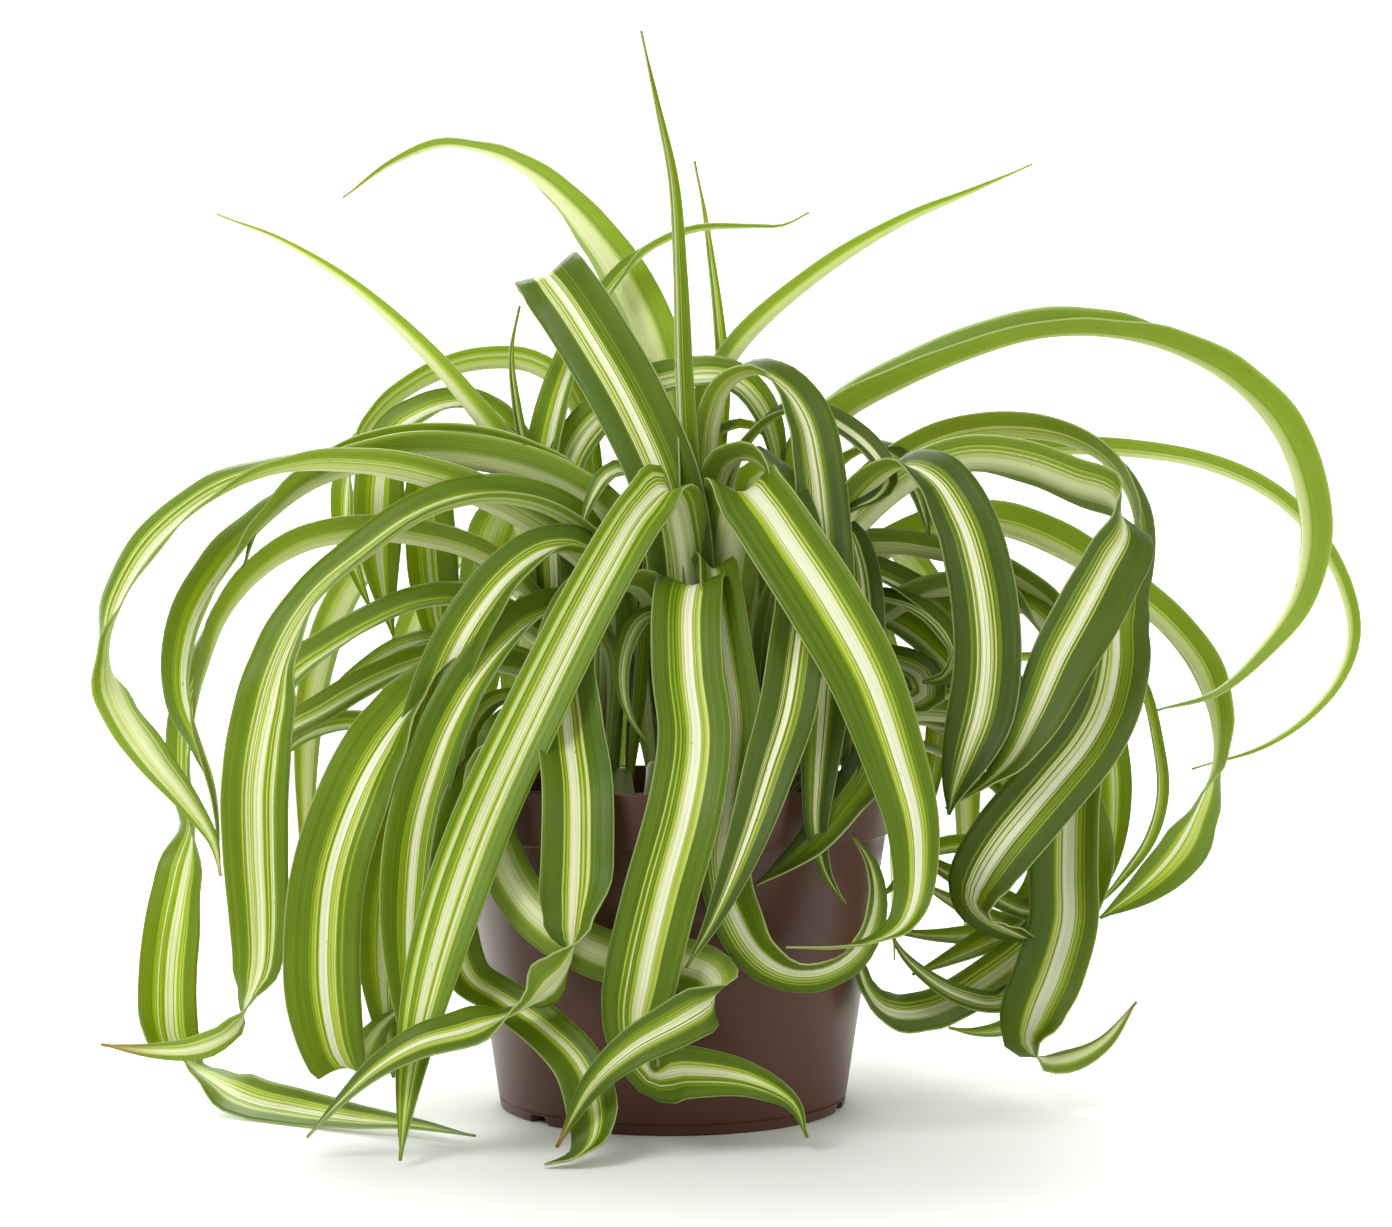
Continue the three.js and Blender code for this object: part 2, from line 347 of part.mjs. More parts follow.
        [69, 78, -13, 45]]],
    ["low_turn", 9, [40, 16], 0.8,
      [[48, 104, -30, -100], [74, 106, -31, -100], [98, 92, -30, -70], [112, 70, -29, -40],
        [114, 54, -27, 100], [104, 51.5, -25, 135], [94, 55, -23, 138], [84, 60, -22, 138],
        [73, 66.5, -21, 138]]],
    ["lit_level", 9, [40, 20], 0.8,
      [[50, 124, -46, -90], [66, 128, -52, -84], [88, 118, -56, -70], [103, 98, -56, -40],
        [104, 83, -55, 10], [94, 77, -53, 45], [84, 76.5, -52, 45], [74, 73.5, -50, 42], [68, 66, -49, 38],
        [61, 60, -48, 42]]],
    ["ring_back", 15, [45, 20], 0.8,
      [[36, 158, -17, -100], [43, 178, -18, -100], [51, 191, -18, -95], [59, 195.5, -17, -82],
        [67, 192, -16, -66], [73, 183, -15, -52], [77, 170, -15, -42]]],
  ],
};

// Leaves hidden from the front, drawn by chance: crown, directions of the first and the last in
// degrees from +X, number, shortest and longest reach, lowest and highest crest
const HIDDEN = [
  ["rear", 62, 118, 5, 95, 135, 165, 215],
  ["rear", 48, 132, 2, 78, 92, 122, 146],
  ["rear_left", 112, 150, 3, 90, 120, 150, 195],
  ["rear_right", 36, 72, 3, 90, 125, 150, 190],
];

let seed = 20261;

function draw(low, high) {
  seed = (seed * 48271) % 2147483647;
  return low + ((high - low) * seed) / 2147483647;
}

function smooth(value) {
  const held = Math.min(Math.max(value, 0), 1);
  return held * held * (3 - 2 * held);
}

// The point seen at (across, up) in the upright plane through the middle, brought nearer to the eye
function sight(across, up, near) {
  const share = (EYE_AWAY - near) / EYE_AWAY;
  return new THREE.Vector3(EYE_SIDE + (across - EYE_SIDE) * share, -near, EYE_UP + (up - EYE_UP) * share);
}

const EYE = new THREE.Vector3(EYE_SIDE, -EYE_AWAY, EYE_UP);

// The normal of the upper side where it is turned by face degrees from looking at the eye
function facing(point, tangent, face) {
  const toEye = EYE.clone().sub(point).projectOnPlane(tangent).normalize();
  const aside = tangent.clone().cross(toEye);
  const angle = THREE.MathUtils.degToRad(face);
  return toEye.multiplyScalar(Math.cos(angle)).addScaledVector(aside, Math.sin(angle));
}

// Root and neck, which lead from the stock to the first point of a route
function rooted(crown, first) {
  const foot = new THREE.Vector3(CROWNS[crown][0], CROWNS[crown][1], ROOT_HEIGHT);
  const outward = first.clone().sub(foot).setZ(0);
  const length = outward.length();
  const root = foot.clone().addScaledVector(outward, Math.min(ROOT_OFFSET / length, 0.5));
  const neck = root.clone().lerp(first, 0.25);
  neck.z = THREE.MathUtils.lerp(ROOT_HEIGHT, first.z, 0.4);
  return [root, neck];
}

// Places along a leaf, each with its point, tangent and the normal of the upper side
function course(points, faces, normalAt, step) {
  const curve = new THREE.CatmullRomCurve3(points, false, "centripetal");
  const places = [];
  const knots = [];
  for (let span = 0; span < points.length - 1; span += 1) {
    const length = points[span].distanceTo(points[span + 1]);
    const parts = Math.max(1, Math.round(length / step));
    knots.push(places.length);
    for (let part = 0; part < parts; part += 1) {
      places.push({ point: curve.getPoint((span + part / parts) / (points.length - 1)) });
    }
  }
  knots.push(places.length);
  places.push({ point: points[points.length - 1].clone() });
  const last = places.length - 1;
  let along = 0;
  places.forEach((place, index) => {
    const before = places[Math.max(index - 1, 0)].point;
    const after = places[Math.min(index + 1, last)].point;
    place.tangent = after.clone().sub(before).normalize();
    along += place.point.distanceTo(before);
    place.along = along;
  });
  // A normal carried along with the least turning, then rolled to what the knots ask for
  let carried = normalAt(places[0].point, places[0].tangent, faces[0]);
  places.forEach((place) => {
    carried = carried.clone().projectOnPlane(place.tangent).normalize();
    place.normal = carried;
  });
  const rolls = knots.map((knot, index) => {
    if (faces[index] === undefined) {
      return undefined;
    }
    const place = places[knot];
    const wanted = normalAt(place.point, place.tangent, faces[index]);
    const aside = place.tangent.clone().cross(place.normal);
    return Math.atan2(wanted.dot(aside), wanted.dot(place.normal));
  });
  const given = knots.map((knot, index) => index).filter((index) => rolls[index] !== undefined);
  given.forEach((index, order) => {
    if (order > 0) {
      const turns = (rolls[index] - rolls[given[order - 1]]) / (2 * Math.PI);
      rolls[index] -= 2 * Math.PI * Math.round(turns);
    }
  });
  for (let order = 0; order < given.length - 1; order += 1) {
    const from = knots[given[order]];
    const to = knots[given[order + 1]];
    for (let index = from; index <= to; index += 1) {
      const share = (places[index].along - places[from].along) / (places[to].along - places[from].along);
      places[index].roll = THREE.MathUtils.lerp(rolls[given[order]], rolls[given[order + 1]], smooth(share));
    }
  }
  const lastGiven = given[given.length - 1];
  for (let index = knots[lastGiven]; index <= last; index += 1) {
    places[index].roll = rolls[lastGiven];
  }
  places.forEach((place) => {
    place.normal = place.normal.clone().applyAxisAngle(place.tangent, place.roll);
    place.share = place.along / along;
  });
  return places;
}

// Half the blade's width at a share of its length
function halfWidth(width, taper, share) {
  const opening = BASE_WIDTH + (1 - BASE_WIDTH) * smooth(share / BASE_STRETCH);
  const closing = share < taper ? 1 : 1 - ((share - taper) / (1 - taper)) ** TAPER_POWER;
  return Math.max(0.5 * width * opening * closing, 0.5 * TIP_WIDTH);
}

// The four corners of a blade's section: right edge, keel, left edge and groove
function section(place, width, fold, taper) {
  const half = halfWidth(width, taper, place.share);
  const angle = THREE.MathUtils.degToRad(THREE.MathUtils.lerp(fold[0], fold[1], smooth(place.share / 0.8)));
  const aside = place.tangent.clone().cross(place.normal);
  const rise = place.normal.clone().multiplyScalar(half * Math.sin(angle));
  const right = place.point.clone().addScaledVector(aside, half * Math.cos(angle)).add(rise);
  const left = place.point.clone().addScaledVector(aside, -half * Math.cos(angle)).add(rise);
  const keel = place.point.clone().addScaledVector(place.normal, -0.5 * BLADE_THICKNESS);
  const groove = place.point.clone().addScaledVector(place.normal, 0.5 * BLADE_THICKNESS);
  const corners = [right, keel, left, groove];
  const lowest = Math.min(...corners.map((corner) => corner.z));
  corners.forEach((corner) => {
    corner.z += Math.max(0, FLOOR_GAP - lowest);
  });
  return corners;
}

function toManifold(geometry) {
  const bare = geometry.clone();
  bare.deleteAttribute("normal");
  bare.deleteAttribute("uv");
  const merged = mergeVertices(bare, 1e-5);
  const vertProperties = new Float32Array(merged.attributes.position.array);
  const triVerts = new Uint32Array(merged.index.array);
  return new wasm.Manifold(new wasm.Mesh({ numProp: 3, vertProperties, triVerts }));
}

function toGeometry(manifold) {
  const mesh = manifold.getMesh();
  const geometry = new THREE.BufferGeometry();
  geometry.setAttribute("position", new THREE.BufferAttribute(new Float32Array(mesh.vertProperties), 3));
  geometry.setIndex(new THREE.BufferAttribute(new Uint32Array(mesh.triVerts), 1));
  return geometry;
}

// A blade's length closed at both ends. Both of its faces are split along the same diagonals.
function bladePiece(rings) {
  const positions = [];
  rings.forEach((ring) => ring.forEach((corner) => positions.push(corner.x, corner.y, corner.z)));
  const index = [0, 3, 1, 1, 3, 2];
  for (let span = 0; span < rings.length - 1; span += 1) {
    for (let corner = 0; corner < 4; corner += 1) {
      const a = 4 * span + corner;
      const b = 4 * span + ((corner + 1) % 4);
      const c = b + 4;
      const d = a + 4;
      if (corner % 2 === 0) {
        index.push(a, b, c, a, c, d);
      } else {
        index.push(a, b, d, b, c, d);
      }
    }
  }
  const end = 4 * (rings.length - 1);
  index.push(end, end + 1, end + 3, end + 1, end + 2, end + 3);
  const geometry = new THREE.BufferGeometry();
  geometry.setAttribute("position", new THREE.BufferAttribute(new Float32Array(positions), 3));
  geometry.setIndex(index);
  return geometry;
}

// A leaf in lengths that are joined, so that one that crosses itself is still one plain solid
function leafSolid(places, width, fold, taper) {
  const rings = places.map((place) => section(place, width, fold, taper));
  let solid = null;
  for (let start = 0; start < rings.length - 1; start += PIECE_SPANS) {
    const piece = toManifold(bladePiece(rings.slice(start, start + PIECE_SPANS + 1)));
    solid = solid ? solid.add(piece) : piece;
  }
  return solid;
}

function tracedLeaf(crown, row) {
  const [, width, fold, taper, route] = row;
  const traced = route.map(([across, up, near]) => sight(across, up, near));
  const faces = route.map((entry) => entry[3]);
  const known = faces.find((face) => face !== undefined);
  const points = [...rooted(crown, traced[0]), ...traced];
  return leafSolid(course(points, [known, known, ...faces], facing, SLICE_STEP), width, fold, taper);
}

// A leaf that arches over in an upright plane, its upper side up at the crest
function archLeaf(crown, direction, reach, crest, end, width, twist) {
  const angle = THREE.MathUtils.degToRad(direction);
  const outward = new THREE.Vector3(Math.cos(angle), Math.sin(angle), 0);
  const aside = outward.clone().cross(new THREE.Vector3(0, 0, 1));
  const bend = draw(-0.12, 0.12);
  const outline = [
    [0.1, 88 + 0.75 * (crest - 88)],
    [0.35, crest - 8],
    [0.55, crest],
    [0.8, crest - 18],
    [0.95, crest - 52],
    [1, Math.max(end, 4)],
  ];
  const foot = new THREE.Vector3(CROWNS[crown][0], CROWNS[crown][1], 0);
  const route = outline.map(([share, height]) => foot.clone()
    .addScaledVector(outward, reach * share)
    .addScaledVector(aside, reach * bend * share * share)
    .setZ(height));
  const points = [...rooted(crown, route[0]), ...route];
  const faces = points.map((point, index) => (twist * index) / (points.length - 1));
  const upper = (point, tangent, turn) => aside.clone().cross(tangent).normalize()
    .applyAxisAngle(tangent, THREE.MathUtils.degToRad(turn));
  return leafSolid(course(points, faces, upper, HIDDEN_STEP), width, [50, 15], 0.6);
}

function hiddenLeaves(crown) {
  const leaves = [];
  HIDDEN.filter((rule) => rule[0] === crown).forEach(([, first, last, count, near, far, low, high]) => {
    for (let index = 0; index < count; index += 1) {
      const direction = THREE.MathUtils.lerp(first, last, (index + draw(0.3, 0.7)) / count);
      const reach = draw(near, far);
      const crest = draw(low, high);
      const end = draw(20, 90);
      const width = draw(13, 19);
      leaves.push(archLeaf(crown, direction, reach, crest, end, width, draw(-40, 40)));
    }
  });
  return leaves;
}

function turned(profile, sides) {
  return new THREE.LatheGeometry(profile.map(([radius, height]) => new THREE.Vector2(radius, height)), sides)
    .rotateX(Math.PI / 2);
}

function rosette(crown) {
  const [x, y] = CROWNS[crown];
  const profile = [
    [0, STOCK_BOTTOM],
    [STOCK_RADIUS, STOCK_BOTTOM],
    [STOCK_RADIUS, SOIL_TOP + 1],
    [STOCK_RADIUS - 2.5, STOCK_TOP],
    [0, STOCK_TOP],
  ];
  let solid = toManifold(turned(profile, STOCK_SIDES).translate(x, y, 0));
  const leaves = LEAVES[crown].map((row) => tracedLeaf(crown, row));
  [...leaves, ...hiddenLeaves(crown)].forEach((leaf) => {
    solid = solid.add(leaf);
  });
  // Edges too short to matter are closed up, and what blades enclose between them is filled
  return solid.simplify(SHORTEST_EDGE)
    .decompose()
    .reduce((one, other) => (other.volume() > one.volume() ? other : one));
}

function potSolid() {
  const slope = (RIM_OUTER - RIM_STEP - FOOT_OUTER) / (POT_HEIGHT - RIM_BAND);
  const bodyAt = (height) => FOOT_OUTER + slope * height;
  const profile = [
    [0, 0],
    [PAD_RADIUS, 0],
    [PAD_RADIUS + 0.8, FOOT_HOLLOW],
    [FOOT_OUTER - 4.3, FOOT_HOLLOW],
    [FOOT_OUTER - 4, 0],
    [FOOT_OUTER - 0.5, 0],
    [bodyAt(0.6), 0.6],
    [bodyAt(FOOT_RING), FOOT_RING],
    [bodyAt(FOOT_RING) - LINE_DEPTH, FOOT_RING + 0.1],
    [bodyAt(FOOT_RING + 0.5) - LINE_DEPTH, FOOT_RING + 0.5],
    [bodyAt(FOOT_RING + 0.6), FOOT_RING + 0.6],
    [bodyAt(POT_HEIGHT - RIM_BAND), POT_HEIGHT - RIM_BAND],
    [RIM_OUTER - 0.4, POT_HEIGHT - RIM_BAND + 0.3],
    [RIM_OUTER, POT_HEIGHT - 0.8],
    [RIM_OUTER - 0.5, POT_HEIGHT],
    [RIM_OUTER - WALL, POT_HEIGHT],
    [RIM_OUTER - WALL - 0.2, POT_HEIGHT - RIM_BAND],
    [bodyAt(POT_HEIGHT - RIM_BAND - 1.5) - WALL, POT_HEIGHT - RIM_BAND - 1.5],
    [bodyAt(FOOT_HOLLOW + FLOOR_THICKNESS) - WALL, FOOT_HOLLOW + FLOOR_THICKNESS],
    [0, FOOT_HOLLOW + FLOOR_THICKNESS],
  ];
  let pot = toManifold(turned(profile, POT_SIDES));
  NOTCH_ANGLES.forEach((angle) => {
    const notch = new THREE.BoxGeometry(NOTCH_WIDTH, 12, 2 * NOTCH_HEIGHT)
      .translate(0, -FOOT_OUTER + 1, 0)
      .rotateZ(THREE.MathUtils.degToRad(angle));
    pot = pot.subtract(toManifold(notch));
  });
  for (let index = 0; index < DRAIN_COUNT; index += 1) {
    const drain = new THREE.CylinderGeometry(DRAIN_RADIUS, DRAIN_RADIUS, 12, 12)
      .rotateX(Math.PI / 2)
      .translate(DRAIN_CIRCLE, 0, 0)
      .rotateZ((2 * Math.PI * (index + 0.5)) / DRAIN_COUNT);
    pot = pot.subtract(toManifold(drain));
  }
  return pot;
}

// The soil fills the pot up to a low dome and has a plain hole for each stock
function soilSolid() {
  const slope = (RIM_OUTER - RIM_STEP - FOOT_OUTER) / (POT_HEIGHT - RIM_BAND);
  const wallAt = (height) => FOOT_OUTER + slope * height - WALL - SOIL_GAP;
  const bottom = FOOT_HOLLOW + FLOOR_THICKNESS + SOIL_GAP;
  const step = POT_HEIGHT - RIM_BAND - 1.5;
  const top = wallAt(step);
  const profile = [
    [0, bottom],
    [wallAt(bottom), bottom],
    [top, step],
    [top, SOIL_TOP - 1],
    [top - 1.5, SOIL_TOP],
    [0.66 * top, SOIL_TOP + 0.6 * SOIL_CROWN],
    [0.33 * top, SOIL_TOP + 0.9 * SOIL_CROWN],
    [0, SOIL_TOP + SOIL_CROWN],
  ];
  let soil = toManifold(turned(profile, 28));
  Object.values(CROWNS).forEach(([x, y]) => {
    const hole = new THREE.CylinderGeometry(STOCK_RADIUS + SOIL_GAP, STOCK_RADIUS + SOIL_GAP, 60, STOCK_SIDES)
      .rotateX(Math.PI / 2)
      .translate(x, y, STOCK_BOTTOM - SOIL_GAP + 30);
    soil = soil.subtract(toManifold(hole));
  });
  return soil;
}

function named(name, manifold, color, roughness) {
  const mesh = new THREE.Mesh(
    toGeometry(manifold),
    new THREE.MeshStandardMaterial({ color, roughness, metalness: 0 }),
  );
  mesh.name = name;
  return mesh;
}

const plant = new THREE.Group();
plant.name = "potted_spider_plant";
plant.add(named("pot", potSolid(), 0x4b382e, 0.3));
plant.add(named("soil", soilSolid(), 0x2e231b, 0.95));
Object.keys(CROWNS).forEach((crown) => {
  plant.add(named(`rosette_${crown}`, rosette(crown), 0x6f8f3c, 0.5));
});

export default plant;
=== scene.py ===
"""Potted spider plant: striped leaves, soil and nursery pot, dressed over the CAD frame."""

import math

import bmesh
import bpy
from mathutils import Matrix, Vector, noise


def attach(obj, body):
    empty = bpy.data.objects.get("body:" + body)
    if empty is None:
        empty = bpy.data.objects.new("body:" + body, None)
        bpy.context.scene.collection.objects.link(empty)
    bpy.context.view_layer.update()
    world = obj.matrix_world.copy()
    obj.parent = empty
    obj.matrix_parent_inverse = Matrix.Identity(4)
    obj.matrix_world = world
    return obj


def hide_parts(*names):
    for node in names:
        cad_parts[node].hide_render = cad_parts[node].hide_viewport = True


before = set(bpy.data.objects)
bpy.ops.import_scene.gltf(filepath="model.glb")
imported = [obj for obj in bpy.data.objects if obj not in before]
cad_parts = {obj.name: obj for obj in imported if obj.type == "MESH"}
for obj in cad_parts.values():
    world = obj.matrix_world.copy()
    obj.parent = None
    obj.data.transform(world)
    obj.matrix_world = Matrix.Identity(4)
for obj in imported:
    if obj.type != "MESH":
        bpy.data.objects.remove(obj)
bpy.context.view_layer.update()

MM = 0.001

# What the CAD source states too: sizes in millimetres, angles in degrees, and shares
POT_HEIGHT = 97
RIM_OUTER = 65
RIM_BAND = 16
RIM_STEP = 1.1
FOOT_OUTER = 51.6
WALL = 1.6
FLOOR_THICKNESS = 2
FOOT_RING = 3
FOOT_HOLLOW = 1.6
PAD_RADIUS = 12
LINE_DEPTH = 0.35
NOTCH_WIDTH = 8
NOTCH_HEIGHT = 2.5
NOTCH_ANGLES = [-48, 72, 192]
SOIL_TOP = 88
SOIL_CROWN = 2.5
SOIL_GAP = 0.3
STOCK_RADIUS = 8.5
STOCK_BOTTOM = 74
STOCK_TOP = 101
ROOT_HEIGHT = 86
ROOT_OFFSET = 5
NECK_ALONG = 0.25
NECK_UP = 0.4
BLADE_THICKNESS = 1.1
BASE_WIDTH = 0.3
BASE_STRETCH = 0.3
TAPER_POWER = 1.8
TIP_WIDTH = 0.9
FLOOR_GAP = 0.6
EYE_UP = 151
EYE_SIDE = 7
EYE_AWAY = 777

# The dressed pot, soil and stocks
BAND_BOTTOM = POT_HEIGHT - RIM_BAND
INNER_STEP = BAND_BOTTOM - 1.5
FOOT_WIDTH = 4.3
SOIL_SHOULDER = 1.5
LUMP_RATE = 260
LUMP_HEIGHT = 1.1
SHEATHS = 5
SHEATH_DEPTH = 0.05
SHEATH_TWIST = 0.12

# The dressed blades: how steep each column of half a blade is, as a share of its fold and from the
# keel to the margin, where along the blade the fold stops changing, and the wave of the margins
SHEET_THICKNESS = 0.5
COLUMN_BENDS = [0.45, 1.05, 1.15, 1.1, 1.0, 0.85]
HALF_COLUMNS = len(COLUMN_BENDS)
STEEPEST = 85
FOLD_END = 0.8
WAVE_HEIGHT = 0.35
WAVE_RATE = 0.045
LEAVES_APART = 7.3
MARGINS_APART = 3.1
FULL_WAVE = 5
LOWEST = FLOOR_GAP - 0.1

# How finely the pieces are divided
SLICE_STEP = 3
POT_STEPS = 240
SOIL_STEPS = 120
SOIL_RINGS = 26
STOCK_STEPS = 36
BEND_STEPS = 12

# Backdrop, in metres
FLOOR_WIDTH = 4.8
FLOOR_NEAR = -1.6
FLOOR_FAR = 2.2
FLOOR_BEND = 0.35
WALL_TOP = 3.2

# The lens that shows what the photograph shows, and how many degrees below level it looks
LENS_LENGTH = 66.86
LENS_DROP = 0.32

CROWNS = {
  "front": [5, -14],
  "right": [21, 3],
  "left": [-19, -1],
  "rear_left": [-31.5, 23],
  "rear": [-2, 28],
  "rear_right": [28, 25],
}

